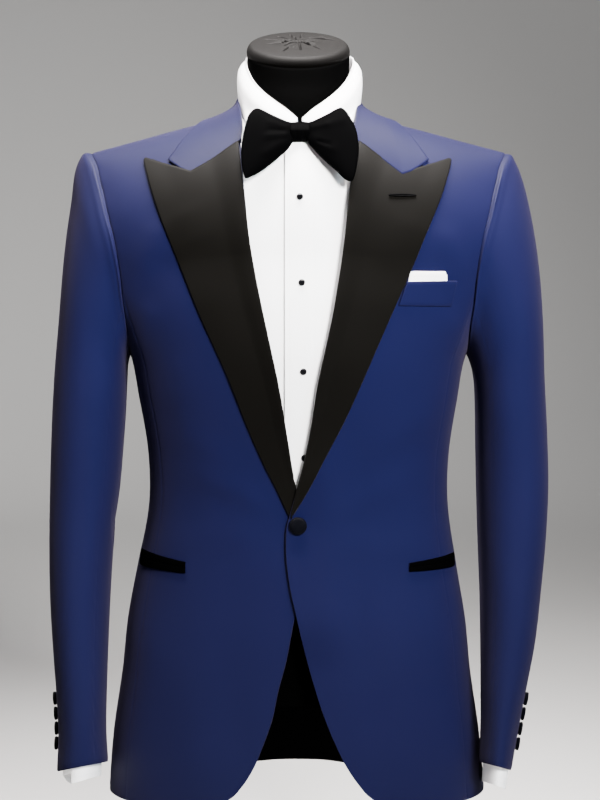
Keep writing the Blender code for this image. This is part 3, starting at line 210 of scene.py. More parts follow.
SHIRT_COLLAR_MIDDLE = np.array([0.0, -5.0, 700.0])
SHIRT_LEAF_DROP = 43.0
CUFF_INSET = 4.5
CUFF_END_LEFT = (218.5, 9, 194.5, 17, 46, -57)
CUFF_END_RIGHT = (248.5, 12, 209.5, 23, 48, -57)
CUFF_LAP_LEFT = (24, 9)  # the angle where it opens, and how far the lap's inner end is raised
CUFF_LAP_RIGHT = (70, 11)
CUFF_ROUND = 372
CUFF_LAP_DEEP = 1.6
CUFF_LAP_ANGLES = ((300, 350), (240, 305))  # where the lap goes under and where it is raised
CUFF_ENDS_FROM = 13
CUFF_FROM_ROW = 12.4

# the bow tie, each wing from the knot outward
TIE_CENTRE = (1.5, -91.0, 701.4)
TIE_LEAN = 0.38
WING_LEFT = table("along top low thick forward", [
    (7, 9.8, -10.4, 3.6, 0), (12, 11, -16.4, 5.4, 0.8), (18, 13.6, -23, 6.6, 1.8),
    (28.5, 18.8, -33.5, 7.8, 3.4), (38.9, 24.4, -42.8, 7.4, 5.4), (42.8, 25.4, -47, 7, 6.2),
    (46.6, 22.9, -50.2, 6.4, 7), (51.8, 16, -51.8, 5.2, 8.2), (55, 9.6, -50, 4.2, 9),
    (57.6, 3.4, -41, 3.3, 9.6), (59.4, -3, -31.5, 2.4, 10), (60.6, -13, -23, 1.3, 10.2),
    (60.9, -17, -19, 0.5, 10.2),
])
WING_RIGHT = table("along top low thick forward", [
    (7, 9.8, -10.6, 3.6, 0), (12.4, 10.9, -18.4, 5.4, 0.8), (20, 14, -25.4, 6.8, 2),
    (30, 18.5, -34.2, 7.8, 3.6), (40, 23.4, -41.6, 7.4, 5.6), (44.5, 24.8, -44.3, 6.8, 6.5),
    (50, 21.8, -47.1, 5.6, 7.8), (54, 15.8, -49, 4.6, 8.8), (57, 5.7, -47.6, 3.5, 9.5),
    (59, -3.6, -41, 2.6, 10), (60.4, -15, -31, 1.3, 10.2), (60.8, -21, -25, 0.5, 10.2),
])
WING_PLEATS_LEFT = table("x0 h0 x1 h1 half rise", [
    (8, 4, 34, 10, 3.4, 0.9), (16, -9, 34, -15, 1.8, -1.1), (10, -4, 40, -22, 5, 0.8),
    (22, 6, 50, 14, 5, 0.6),
])
WING_PLEATS_RIGHT = table("x0 h0 x1 h1 half rise", [
    (8, -3, 40, -5, 2.6, 1), (8, 4, 36, 12, 3.6, 0.7), (12, -8, 42, -26, 4.5, 0.8),
    (14, 1, 36, 2, 1.8, -0.6),
])
KNOT_HALF = (10.4, 7.0, 10.6)
KNOT_ROUNDNESS = 2.6
KNOT_LEAN = 0.55
WING_POWER = 0.8
KNOT_END = 0.78
KNOT_CREASES = ((0.5, -0.35), (0.4, 0.42))  # rise, place across
KNOT_CREASE_REACH = 0.14

# buttons and studs, whose turned profiles are shares of radius and height
OFF_AXIS = 0.02
BUTTON_RADIUS = 9.2
BUTTON_HEIGHT = 5.0
BUTTON_SHANK = 0.9
BUTTON_AT = (-0.5, 294.0)
BUTTON_RIM = [(0.92, 0.56), (0.97, 0.6), (1, 0.48), (0.98, 0.28), (0.8, 0.06), (0.5, 0), (0, 0)]
SLEEVE_BUTTON_RADIUS = 7.2
SLEEVE_BUTTON_HEIGHT = 4.2
SLEEVE_BUTTON_HEIGHTS = (101.0, 85.5, 70.0, 54.5)
SLEEVE_BUTTON_ANGLE = -7.0
RIMMED = [(0, 0.62), (0.3, 0.6), (0.6, 0.64), (0.74, 0.9), (0.84, 1), (0.94, 0.96), (1, 0.7), (0.97, 0.4),
          (0.75, 0.1), (0.4, 0), (0, 0)]
STUD_RADIUS = 3.5
STUD_HEIGHT = 2.6
STUD_OUT = 0.75
STUDS = ((1.5, 634.5), (3.4, 546), (5.1, 453.5), (6.2, 363.5))
STUD_BACK = [(0.8, 0.3), (0, 0.28)]
STUD_RIM = [(0, 0.26), (0.8, 0.27), (0.86, 0.42), (0.93, 0.5), (1, 0.4), (1, 0.12), (0.85, 0), (0, 0)]

# the form, its neck and cap, and the stand
FORM_BOTTOM = 100.0
FORM_RINGS = table("height inset", [
    (100, 34), (140, 29), (190, 24), (240, 18), (310, 14.5), (370, 14.5), (430, 14), (490, 16), (540, 15),
    (580, 13),
])
FORM_SHOULDER_INSET = 11.0
FORM_RIDGE_HALF = 0.6
FORM_SIDE_CLEARANCE = 13.0
FORM_TOP_CLEARANCE = 4.3
NECK_RINGS = table("height half_x half_y centre_y tilt", [
    (672, 52.5, 60, -6, 0), (726, 53.2, 60, -7, 3), (745, 53.6, 58, -4, 8), (767, 54.3, 56.4, 2, 14.5),
    (789.4, 55.2, 56, 7, 19.6),
])
CAP_HALF = (55.6, 57.0)
CAP_CENTRE = (-0.3, 7.0, 790.0)
CAP_TILT = 19.6
CAP_THICK = 11.0
CAP_FLAT = 0.88
CAP_FALL = 0.08
CAP_EDGE = (9.0, 6.0)  # the rolled rim's height, and the straight part below it
GATHER_RISE = 0.5
GATHER_COUNT = 11
DIMPLE_DEEP = 4.2
DIMPLE_REACH = 3.2
CREASE_WIDTH = 0.62
CREASE_DEEPER = 3.4
CREASE_HIGHER = 1.5
CAP_GATHER_AT = (-0.5, 8.5)
# on the cap: mm to the wearer's left and to the back of its middle
CAP_CREASES = table("x0 a0 x1 a1 half rise", [
    (-1.7, 9.6, -8.1, 3.1, 1.5, -2.6), (-7.5, 4, -14.6, -7.5, 1.5, -2.4),
    (-8, 14.5, -17.3, 4.4, 1.6, -2.2), (-22, 32.5, -10, 19.5, 1.7, -2.4), (-9.2, 41, -5.9, 22, 1.2, -1),
    (4.3, 41, 2.3, 22, 1.2, -0.9), (5, 7.8, 12.8, -5, 1.5, -2.2), (13.5, 25.6, 38.5, 17.6, 2.2, -3),
    (-5.5, 7.5, 5.5, 8.5, 2.6, -3.2), (-36, 19.8, -15, 12.6, 1.9, -1.2), (-33, -0.7, -14, 2.7, 2, -1.2),
    (6, 12, 20, 8, 1.8, -1), (1.6, 1, 2.7, -26, 1.3, -0.9), (-9, -10, -16, -30, 1.4, -0.8),
    (14, -6, 24, -22, 1.4, -0.7), (-2, 16, -4.5, 30, 1.3, -1.1), (6, 14, 14, 24, 1.4, -1.6),
    (-12, 9, -24, 15, 2.6, 0.9), (-3, -4, -6, -16, 3, 0.8), (8, 3, 20, -2, 3, 0.8),
    (0, 20, 2, 36, 3.4, 0.7), (20, 30, 30, 24, 3, 0.8), (-28, 6, -14, 7, 2.6, 0.8),
])
POST_RADIUS = 6.0
POST_X = 104.0
POST_Y = 6.0
BASE_RADIUS = 165.0
BASE_THICK = 8.0
POST_FOOT = ((1, 14), (1.9, 12), (2.4, 6), (2.6, 0.6), (2.5, 0))  # shares of the post's radius, heights
STAND_GAP = 0.4
BASE_ROUND = 3.0
FORM_RIM = (0.93, 0.985, 0.997)  # the form's lowest rings, as shares of its outline

# folds: (x, height) to (x, height) of each soft ridge, its half width and its rise, in mm
RIDGE_LEVEL_PART = 0.45
RIDGE_END_FALL = 6.0
BODY_FOLDS = table("x0 h0 x1 h1 half rise", [
    (-22, 306, -118, 352, 15, 1.7), (-30, 288, -150, 268, 17, 1.3), (-60, 352, -140, 398, 16, 1.2),
    (-52, 322, -92, 318, 11, -0.9), (-172, 560, -140, 640, 15, 1.5), (-168, 520, -128, 590, 17, -1.2),
    (-176, 470, -150, 530, 12, 1.3), (-150, 205, -172, 8, 22, 2.2), (-104, 180, -116, 6, 26, 1.6),
    (-60, 250, -72, 40, 24, -1), (-128, 470, -110, 420, 18, 0.9), (-150, 420, -120, 380, 14, -0.9),
    (24, 300, 122, 342, 16, 1.5), (30, 280, 140, 262, 18, 1.1), (70, 366, 146, 412, 15, 1.1),
    (176, 556, 146, 634, 15, 1.3), (172, 500, 138, 566, 16, -1.1), (176, 462, 154, 520, 12, 1.2),
    (148, 200, 170, 8, 22, 2.4), (100, 190, 112, 6, 25, 1.6), (66, 235, 84, 30, 24, -1.1),
    (120, 640, 90, 560, 20, 0.9), (-120, 650, -100, 590, 20, 0.8),
])
BACK_FOLDS = table("x0 h0 x1 h1 half rise", [
    (-20, 330, -130, 372, 18, 1.7), (-26, 300, -140, 285, 18, 1.4), (22, 322, 126, 356, 17, 1.6),
    (30, 292, 140, 280, 19, 1.3), (-168, 500, -110, 610, 20, 1.8), (-176, 460, -130, 540, 16, -1.3),
    (170, 505, 116, 600, 20, 1.6), (176, 455, 136, 530, 15, -1.2), (-60, 690, 50, 684, 14, 1.1),
    (-90, 655, -10, 668, 16, -0.8), (20, 662, 96, 652, 17, 0.9), (-110, 240, -128, 8, 24, 2),
    (112, 236, 130, 8, 24, 2.1), (-46, 220, -52, 6, 26, -1.2), (50, 226, 58, 6, 26, -1.1),
])
# on a sleeve: degrees round it and rows down it, both made mm of cloth by these
SLEEVE_DEGREE_MM = 0.95
SLEEVE_ROW_MM = 46.0
SLEEVE_FOLDS_LEFT = table("d0 r0 d1 r1 half rise", [
    (30, 0.4, 95, 3.4, 13, 1.5), (70, 0.5, 118, 4.2, 12, 1.2), (-10, 0.5, -30, 4, 15, 1.3),
    (150, 4.4, 84, 5.6, 11, 1.6), (168, 5.6, 96, 6.6, 10, -1.4), (172, 6.7, 88, 7.6, 11, 1.9),
    (176, 8, 104, 8.5, 9, -1.6), (170, 8.9, 92, 9.6, 11, 1.5), (40, 6, 60, 10.5, 16, 0.9),
    (20, 10, 70, 13, 15, 1), (120, 10.8, 96, 14.2, 14, 1), (100, 12.4, 30, 13.6, 12, 0.9),
    (230, 6.6, 290, 7.4, 13, 1.5), (220, 8.2, 300, 8.6, 12, -1.3), (240, 9.6, 300, 11, 14, 1.2),
    (300, 1, 262, 4.4, 15, 1.4), (320, 4, 300, 7, 16, 1), (330, 10.5, 300, 14, 15, 0.9),
])
SLEEVE_FOLDS_RIGHT = table("d0 r0 d1 r1 half rise", [
    (24, 0.5, 88, 3, 14, 1.6), (62, 0.4, 110, 4.6, 12, 1.1), (-16, 0.6, -26, 4.4, 15, 1.2),
    (156, 4, 70, 5.2, 12, 1.9), (166, 5.2, 78, 6.2, 10, -1.5), (170, 6.3, 60, 7.2, 12, 1.8),
    (176, 7.6, 98, 8.2, 9, -1.7), (168, 8.6, 84, 9.2, 12, 1.7), (172, 9.9, 110, 10.3, 10, -1.1),
    (30, 5.4, 52, 9.6, 17, 1), (12, 10.4, 66, 12.6, 15, 1), (126, 11.2, 100, 14.4, 14, 1),
    (226, 6.2, 296, 7, 13, 1.4), (218, 7.8, 300, 8.4, 12, -1.4), (236, 9.2, 296, 10.8, 14, 1.1),
    (296, 1.2, 266, 4.8, 15, 1.3), (322, 4.4, 306, 7.4, 16, 1), (334, 10.8, 304, 14, 15, 0.8),
])

# the lapel's shares along and across, and its thread
GORGE_FROM = 0.86
PEAK_FROM = (0.8, 0.7)
ROLL_SHY = 0.95
ROLL_WIDE = 0.3
ROLL_HEIGHTS = (330, 420)
LAPEL_RIPPLE = 0.35
BUTTONHOLE_OUT = 3.9
BUTTONHOLE_THREAD = 0.8

# the floor, in metres
FLOOR_NEAR = 4.0
FLOOR_HALF = (4.0, 1.8)
WALL_TOP = 7.0

# cloth, in mm: walls, and each seam's dip and reach
WOOL_WALL = 1.5
LAPEL_WALL = 1.1
COLLAR_WALL = 1.6
LINING_WALL = 0.8
SHIRT_WALL = 0.7
FOLDED_WALL = 0.9
TAPE_WALL = 0.4
WELT_WALL = 1.6
PATCH_EDGE_DIP = 0.5
THREAD_RING = 0.24
THREAD_UP = 0.25
THREAD_RADIUS = 0.4
BODY_SEAM = (0.3, 1.1)
SLEEVE_SEAM = (0.12, 0.9)
HEAD_SEAM = (0.9, 1.8)
HEM_ROLL = (0.5, 2.0)
PUCKER = 0.12
PUCKER_REACH = 7
RIM_OUT = 0.4
STITCH_SHARE = 0.62
FUZZ = 0.3
ROUGHNESS_SWING = 0.12
SATIN_WEAVE = (0.0006, 0.15, 0.0, 0.0)

# the studio
CAMERA_AWAY = 2600.0
CAMERA_HEIGHT = 594.0
MM_PER_PIXEL = 1.08
PIXELS = 800
CAMERA_SHIFT = (1.5 / PIXELS, -0.15)
CAMERA_CLOSER = 1.003
LOOK_BELOW = 164.75
SENSOR = 36.0
SKY_AT_FLOOR = 0.03
SKY_OVERHEAD = 0.14
SKY_SEEN = 0.42
SWEEP_AT = 7.0
SWEEP_RADIUS = 3.5
# name, place, aim (m), size (m), power (W), colour, spread (degrees)
LAMPS = [
    ("key_above", (0.0, -0.16, 1.75), (0.0, -0.04, 0.88), (0.9, 0.35), 62.0, (1.0, 0.95, 0.93), 130),
    ("front", (1.15, -2.9, 1.9), (0.03, 0.0, 1.0), (0.8, 0.8), 50.0, (1.0, 0.98, 0.96), 44),
    ("side_right", (2.0, -2.0, 1.2), (0.1, 0.0, 0.6), (1.0, 1.2), 8.0, (0.55, 0.80, 1.0), 70),
    ("back", (-0.7, 3.0, 1.9), (0.0, 0.0, 0.7), (0.9, 0.9), 30.0, (1.0, 0.99, 0.98), 44),
    ("wall", (0.0, 3.2, 3.0), (0.0, 7.0, 1.4), (2.4, 1.0), 42.0, (1.0, 1.0, 1.0), 170),
]


def hermite(t, start, end, out, into):
    """The cubic from start to end, with the slopes out and into there, for t from 0 to 1."""
    rise = end - start
    return start + t * out + t**2 * (3 * rise - 2 * out - into) + t**3 * (out + into - 2 * rise)


def smooth(at, xs, ys):
    """A curve through the points (xs, ys), with slopes that run on from span to span."""
    at = np.clip(np.asarray(at, float), xs[0], xs[-1])
    slopes = np.gradient(ys, xs)
    span = np.clip(np.searchsorted(xs, at, side="right") - 1, 0, len(xs) - 2)
    width = xs[span + 1] - xs[span]
    out, into = slopes[span] * width, slopes[span + 1] * width
    return hermite((at - xs[span]) / width, ys[span], ys[span + 1], out, into)


def read(rows, at, name):
    """A table's column where its first column has the value at."""
    return smooth(at, next(iter(rows.values())), rows[name])


def row_at(rows, at, key=None):
    """All columns of a table at a row number, or at a place in the key."""
    key = np.arange(len(next(iter(rows.values()))), dtype=float) if key is None else key
    return {name: smooth(at, key, values) for name, values in rows.items()}


def ease(at, low, high):
    """0 at low and 1 at high, with a soft start and end."""
    t = np.clip((np.asarray(at, float) - low) / (high - low), 0, 1)
    return t * t * (3 - 2 * t)


def mix(a, b, t):
    return a + (b - a) * t


def bell(distance, reach):
    """1 at no distance, falling softly away past the reach."""
    return np.exp(-((distance / reach) ** 2))


def signed_power(value, power):
    return np.sign(value) * np.abs(value) ** power


def sine_cosine(degrees):
    return np.sin(np.radians(degrees)), np.cos(np.radians(degrees))


def spread(*values):
    """Numbers and arrays as float arrays of one shape."""
    return np.broadcast_arrays(*(np.asarray(value, float) for value in values))


def xyz(x, y, z):
    return np.stack(spread(x, y, z), axis=-1)


def unit(vectors):
    return vectors / np.maximum(np.linalg.norm(vectors, axis=-1, keepdims=True), 1e-9)


def mirrored(points):
    return points * np.array([-1.0, 1.0, 1.0])


def sided(points, side):
    """Points worked out for the wearer's left (+1), or the same for the right (-1)."""
    return points if side > 0 else mirrored(points)


def closed_by_mirror(half):
    """A grid whose rows run to the centre back, carried on round the other side."""
    return np.concatenate([half, mirrored(half)[-2::-1]], axis=0)


# ---- the body surface ----


def half_width(height):
    return read(BODY_RINGS, height, "half_width")


def arch_share(height):
    """0 at the chest and 1 on the shoulder's ridge."""
    return np.clip((np.asarray(height, float) - CHEST_TOP) / (SHOULDER_TOP - CHEST_TOP), 0, 1)


def depth(height, side):
    """Depth of the body in front (side -1) or behind (side +1) at a height before the shoulder drop."""
    before, behind = (read(BODY_RINGS, height, name) for name in ("front_depth", "back_depth"))
    arch = ARCH_DEPTH * (1 - arch_share(height) ** ARCH_ROUNDNESS) ** (1 / ARCH_ROUNDNESS)
    return np.where(np.asarray(height) > CHEST_TOP, arch, np.where(np.asarray(side) < 0, before, behind))


def drop(height):
    return SHOULDER_DROP * ease(height, DROP_START, SHOULDER_TOP)


def arch_height(degrees):
    """Height of a row over the shoulder, from its angle: 0 at the chest, 90 on the ridge."""
    return CHEST_TOP + (SHOULDER_TOP - CHEST_TOP) * np.sin(np.radians(degrees)) ** (2 / ARCH_ROUNDNESS)


def tape_of(height, side=-1):
    """The place on the tape of a front or back height; see on_tape."""
    height = np.asarray(height, float)
    arch = np.degrees(np.arcsin(arch_share(height) ** (ARCH_ROUNDNESS / 2)))
    tape = np.where(height < CHEST_TOP, (height - CHEST_TOP) / TAPE_MM_PER_DEGREE, arch)
    return np.where(np.asarray(side) < 0, tape, 180 - tape)


def body_y(x, height, side):
    """The body's y: its depth times the share left by x, both to the power ROUNDNESS and adding up to one."""
    share = np.clip(1 - (np.abs(x) / half_width(height)) ** ROUNDNESS, 0, 1) ** (1 / ROUNDNESS)
    return side * depth(height, side) * share


def on_tape(x, tape):
    """A point of the body surface. The tape runs up the front, over the shoulder at 90, and down the back."""
    x, tape = spread(x, tape)
    front = np.where(tape < 90, tape, 180 - tape)
    height = np.where(front < 0, CHEST_TOP + front * TAPE_MM_PER_DEGREE, arch_height(np.maximum(front, 0)))
    y = body_y(x, height, np.where(tape < 90, -1, 1))
    return xyz(x, y, height - drop(height) * np.abs(x))


def cloth_at(x, tape, out):
    """A point at the distance out from the body surface, along its normal."""
    x, tape, out = spread(x, tape, out)
    step_x, step_tape = 1.0, 0.4
    across = on_tape(x + step_x, tape) - on_tape(x - step_x, tape)
    along = on_tape(x, tape + step_tape) - on_tape(x, tape - step_tape)
    return on_tape(x, tape) + unit(np.cross(across, along)) * out[..., None]


def ring_radius(sine, cosine, half, deep):
    """Radius of a rounded rectangle of these half sizes in the direction of the sine and cosine."""
    return ((np.abs(sine) / half) ** ROUNDNESS + (np.abs(cosine) / deep) ** ROUNDNESS) ** (-1 / ROUNDNESS)


def ring_point(height, degrees):
    """A point of the body at a height and an angle from the front; +90 is the wearer's left side."""
    height, degrees = spread(height, degrees)
    sine, cosine = sine_cosine(degrees)
    deep = np.maximum(depth(height, np.where(cosine > 0, -1, 1)), 0.01)
    radius = ring_radius(sine, cosine, half_width(height), deep)
    return xyz(radius * sine, -radius * cosine, height - drop(height) * np.abs(radius * sine))


def angle_at(x, height, side):
    """The angle of ring_point where the ring has this x, in front or behind."""
    return np.degrees(np.arctan2(x, -body_y(x, height, side)))


def armhole_x(height):
    return read(ARMHOLE, height, "half_width")


def armhole_height(degrees, shy):
    """The height at which the armhole crosses this angle, by halving the span."""
    low = np.full(np.shape(degrees), UNDERARM_ROW)
    high = np.full(np.shape(degrees), CHEST_TOP)
    for _ in range(30):
        middle = (low + high) / 2
        outside = ring_point(middle, degrees)[..., 0] > armhole_x(middle) - shy
        high = np.where(outside, middle, high)
        low = np.where(outside, low, middle)
    return low


def body_cloth(height, degrees, out):
    """A point at the distance out from ring_point, along the surface's normal there."""
    height, degrees, out = spread(height, degrees, out)
    start = ring_point(height, degrees)
    step_height, step_degrees = 1.0, 0.5
    low = np.maximum(height - step_height, 0.0)
    up = ring_point(height + step_height, degrees) - ring_point(low, degrees)
    across = ring_point(height, degrees + step_degrees) - ring_point(height, degrees - step_degrees)
    below_arch = start + unit(np.cross(across, up)) * out[..., None]
    side = np.where(np.cos(np.radians(degrees)) > 0, -1, 1)
    over_arch = cloth_at(start[..., 0], tape_of(height, side), out)
    return np.where((height > CHEST_TOP)[..., None], over_arch, below_arch)


def lap_lift(x, height):
    """How far the left front and its lapel stand out over the right front."""
    low, full_low, full_high, high = LAP_HEIGHTS
    across = 1 - ease(x, *LAP_FADE_WIDTH)
    return LAP_LIFT * across * ease(height, low, full_low) * (1 - ease(height, full_high, high))


def neck_hole_x(heights, side, half):
    """Where a row of the body surface enters the neck hole, an ellipse seen from above."""
    y = side * depth(heights, side)
    return half[0] * np.sqrt(np.clip(1 - ((y - NECK_CENTRE_Y) / half[1]) ** 2, 0, 1))


def sleeve_ring(sleeve, at, degrees):
    """Points of the sleeve at its rows and the angles round it: 0 outer, 90 front, 180 inner, 270 back.

    Each ring is a rounded rectangle, whose cosine and sine are raised to the power 2 / SLEEVE_ROUNDNESS.
    It leans from its outer to its inner height, and SLEEVE_TILT lifts its front down the arm.
    """
    at, degrees = spread(at, degrees)
    row = row_at(sleeve, at)
    deep, across = (signed_power(value, 2 / SLEEVE_ROUNDNESS) for value in sine_cosine(degrees))
    outward = (1 + across) / 2
    z = mix(row["inner_height"], row["outer_height"], outward)
    z = z + SLEEVE_TILT * ease(at, *SLEEVE_TILT_ROWS) * deep * row["half_depth"]
    return xyz(mix(row["inner"], row["outer"], outward), row["centre_y"] - deep * row["half_depth"], z)


def sleeve_middle(sleeve, at):
    return (sleeve_ring(sleeve, at, 0) + sleeve_ring(sleeve, at, 180)) / 2


def armhole_ring(degrees, shy, out=0.0):
    """Points of the armhole round the same angles, on the body surface or at the distance out from it."""
    middle = (SHOULDER_TOP + ARMHOLE_BOTTOM) / 2
    sine, cosine = sine_cosine(degrees)
    height = middle + (SHOULDER_TOP - middle) * cosine
    x, tape = armhole_x(height) + shy, tape_of(height, np.where(sine >= 0, -1, 1))
    return cloth_at(x, tape, out) if out else on_tape(x, tape)


def sleeve_grid(sleeve, at, degrees, shy=0.2):
    """The sleeve with its cap eased into the armhole over its first rows."""
    first = sleeve_ring(sleeve, np.zeros_like(at), degrees)
    fade = (1 - ease(at, 0, SLEEVE_CAP_ROWS))[..., None]
    return sleeve_ring(sleeve, at, degrees) + (armhole_ring(degrees, shy) - first) * fade


def moved_in(tube, distance):
    """Rings of a tube moved in along its normals, which are taken round each ring and down the tube."""
    around = np.roll(tube, -1, axis=1) - np.roll(tube, 1, axis=1)
    towards = unit(np.cross(around, np.gradient(tube, axis=0)))
    outward = tube - tube.mean(axis=1, keepdims=True)
    return tube - towards * np.sign((towards * outward).sum()) * distance


def shirt_depth(heights):
    """How far the shirt lies inside the jacket's face: close on the shoulders, looser below."""
    return mix(SHIRT_DEPTH_BODY, SHIRT_DEPTH_SHOULDER, ease(heights, *SHIRT_CLOSING))


def on_neck(degrees, height, out):
    """A point at the distance out from the form's neck, at an angle from the front and a height.

    The neck's rings are ellipses tilted forward, so the ring through the point is found by trying again
    with the last answer's tilt.
    """
    sine, cosine = sine_cosine(degrees)
    ring = np.asarray(height, float)
    for _ in range(6):
        row = row_at(NECK_RINGS, ring, NECK_RINGS["height"])
        y = row["centre_y"] - row["half_y"] * cosine
        ring = height - (y - row["centre_y"]) * np.tan(np.radians(row["tilt"]))
    return xyz((row["half_x"] + out) * sine, row["centre_y"] - (row["half_y"] + out) * cosine, height)


def in_front(points, clear):
    """The points, those in front drawn forward until each is clear of the body surface."""
    x, y, z = points.T
    height = z.copy()
    for _ in range(12):
        height = np.minimum(z + drop(height) * np.abs(x), SHOULDER_TOP)
    chest = on_tape(x, tape_of(height))[:, 1] - clear
    return xyz(x, np.where(y < 0, np.minimum(y, chest), y), z)


def ridges(a, b, folds):
    """The sum of soft ridges on a surface with coordinates a and b in mm.

    Each ridge is a bell across its line, high in the middle of the line and fading to its two ends.
    """
    rise = np.zeros(np.broadcast(a, b).shape)
    for a0, b0, a1, b1, half, height in zip(*folds.values()):
        length = math.hypot(a1 - a0, b1 - b0)
        along = ((a - a0) * (a1 - a0) + (b - b0) * (b1 - b0)) / length**2
        across = ((a - a0) * (b1 - b0) - (b - b0) * (a1 - a0)) / length
        past_middle = np.clip(np.abs(along - 0.5) * 2 - RIDGE_LEVEL_PART, 0, None)
        rise = rise + height * bell(across, half) * np.exp(-(past_middle**2) * RIDGE_END_FALL)
    return rise


def unevenness(a, b, rise):
    """A slow swell that no two places share: sines of unlike lengths, in mm."""
    return rise * (
        np.sin(a / 31 + 0.9 * np.sin(b / 47)) * np.sin(b / 59 + 0.4)
        + 0.6 * np.sin(a / 17 + b / 73 + 1.3) * np.sin(b / 37 + a / 91)
    )


# ---- cloth meshes ----


def shares(count, even=0.45):
    """Shares from 0 to 1, closer together near both ends, where a seam or edge turns in."""
    t = np.linspace(0, 1, count)
    return mix(0.5 - 0.5 * np.cos(math.pi * t), t, even)


def slopes(grid, wrap):
    """Steps of the grid down its rows and along its columns."""
    along = (np.roll(grid, -1, axis=1) - np.roll(grid, 1, axis=1)) / 2 if wrap else np.gradient(grid, axis=1)
    return np.gradient(grid, axis=0), along


def normals(grid, centre, wrap=False):
    """Unit normals that point away from the centre on the whole."""
    down, along = slopes(grid, wrap)
    found = unit(np.cross(along, down))
    return found * (1.0 if (found * (grid - centre)).sum() > 0 else -1.0)


def arcs(grid):
    """Distance of each point from the first column, and from the first row, in mm."""
    across = np.cumsum(np.linalg.norm(np.diff(grid, axis=1), axis=-1), axis=1)
    down = np.cumsum(np.linalg.norm(np.diff(grid, axis=0), axis=-1), axis=0)
    return np.pad(across, ((0, 0), (1, 0))), np.pad(down, ((1, 0), (0, 0)))


def edge_distance(grid, wrap=False, sides="lrtb"):
    """Distance to the nearest named side (left, right, top, bottom row), in mm."""
    u, v = arcs(grid)
    choices = {"l": u, "r": u[:, -1:] - u, "t": v, "b": v[-1:, :] - v}
    return np.minimum.reduce([choices[side] for side in sides if not (wrap and side in "lr")])


def quads(rows, columns, wrap, flip):
    """Corner numbers of a grid's faces."""
    number = np.arange(rows * columns).reshape(rows, columns)
    right = np.roll(number, -1, axis=1) if wrap else number[:, 1:]
    left = number if wrap else number[:, :-1]
    found = np.stack([left[:-1], right[:-1], right[1:], left[1:]], axis=-1).reshape(-1, 4)
    return found[:, ::-1] if flip else found


def fuller_hip(points):
    """One hip let out: x moved by FULLER_HIP, all of it below the pocket and none above the waist."""
    x, z = points[:, 0], points[:, 2]
    across = ease(-x, *HIP_X) * (x > HIP_SLEEVE_X)
    share = across * (1 - ease(z, *HIP_TOP)) * ease(z, *HIP_HEM)
    return points - xyz(FULLER_HIP * share, 0, 0)


def linked(name, data):
    """A new object of the scene."""
    made = bpy.data.objects.new(name, data)
    bpy.context.scene.collection.objects.link(made)
    return made


def put(name, points, faces, finish, values=None, flat_uv=None, crisp=None):
    """A mesh of points in mm above the hem, with its faces, finish, UVs and point values."""
    mesh = bpy.data.meshes.new(name)
    faces = np.asarray(faces, np.int32)
    placed = (fuller_hip(np.asarray(points, float)) + np.array([0.0, 0.0, HEM_ABOVE_BASE])) * MM
    count, corners = faces.shape
    mesh.vertices.add(len(placed))
    mesh.vertices.foreach_set("co", placed.astype(np.float32).ravel())
    mesh.loops.add(faces.size)
    mesh.loops.foreach_set("vertex_index", faces.ravel())
    mesh.polygons.add(count)
    mesh.polygons.foreach_set("loop_start", np.arange(count, dtype=np.int32) * corners)
    mesh.polygons.foreach_set("loop_total", np.full(count, corners, np.int32))
    mesh.polygons.foreach_set("use_smooth", np.ones(count, bool))
    if flat_uv is not None:
        layer = mesh.uv_layers.new(name="cloth")
        layer.data.foreach_set("uv", flat_uv[faces.ravel()].astype(np.float32).ravel())
    for key, column in (values or {}).items():
        attribute = mesh.attributes.new(key, "FLOAT", "POINT")
        attribute.data.foreach_set("value", np.asarray(column, np.float32).ravel())
    mesh.update(calc_edges=True)
    mesh.validate()
    if crisp is not None:
        ends = np.empty(2 * len(mesh.edges), np.int32)
        mesh.edges.foreach_get("vertices", ends)
        low, high = np.sort(ends.reshape(-1, 2).astype(np.int64), axis=1).T
        one, other = np.sort(crisp.astype(np.int64), axis=1).T
        marked = np.isin(low * len(placed) + high, one * len(placed) + other)
        mesh.attributes.new("sharp_edge", "BOOLEAN", "EDGE").data.foreach_set("value", marked)
    mesh.materials.append(finish)
    made = linked(name, mesh)
    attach(made, "root")
    return made


def next_round(loop):
    return np.roll(loop, -1)


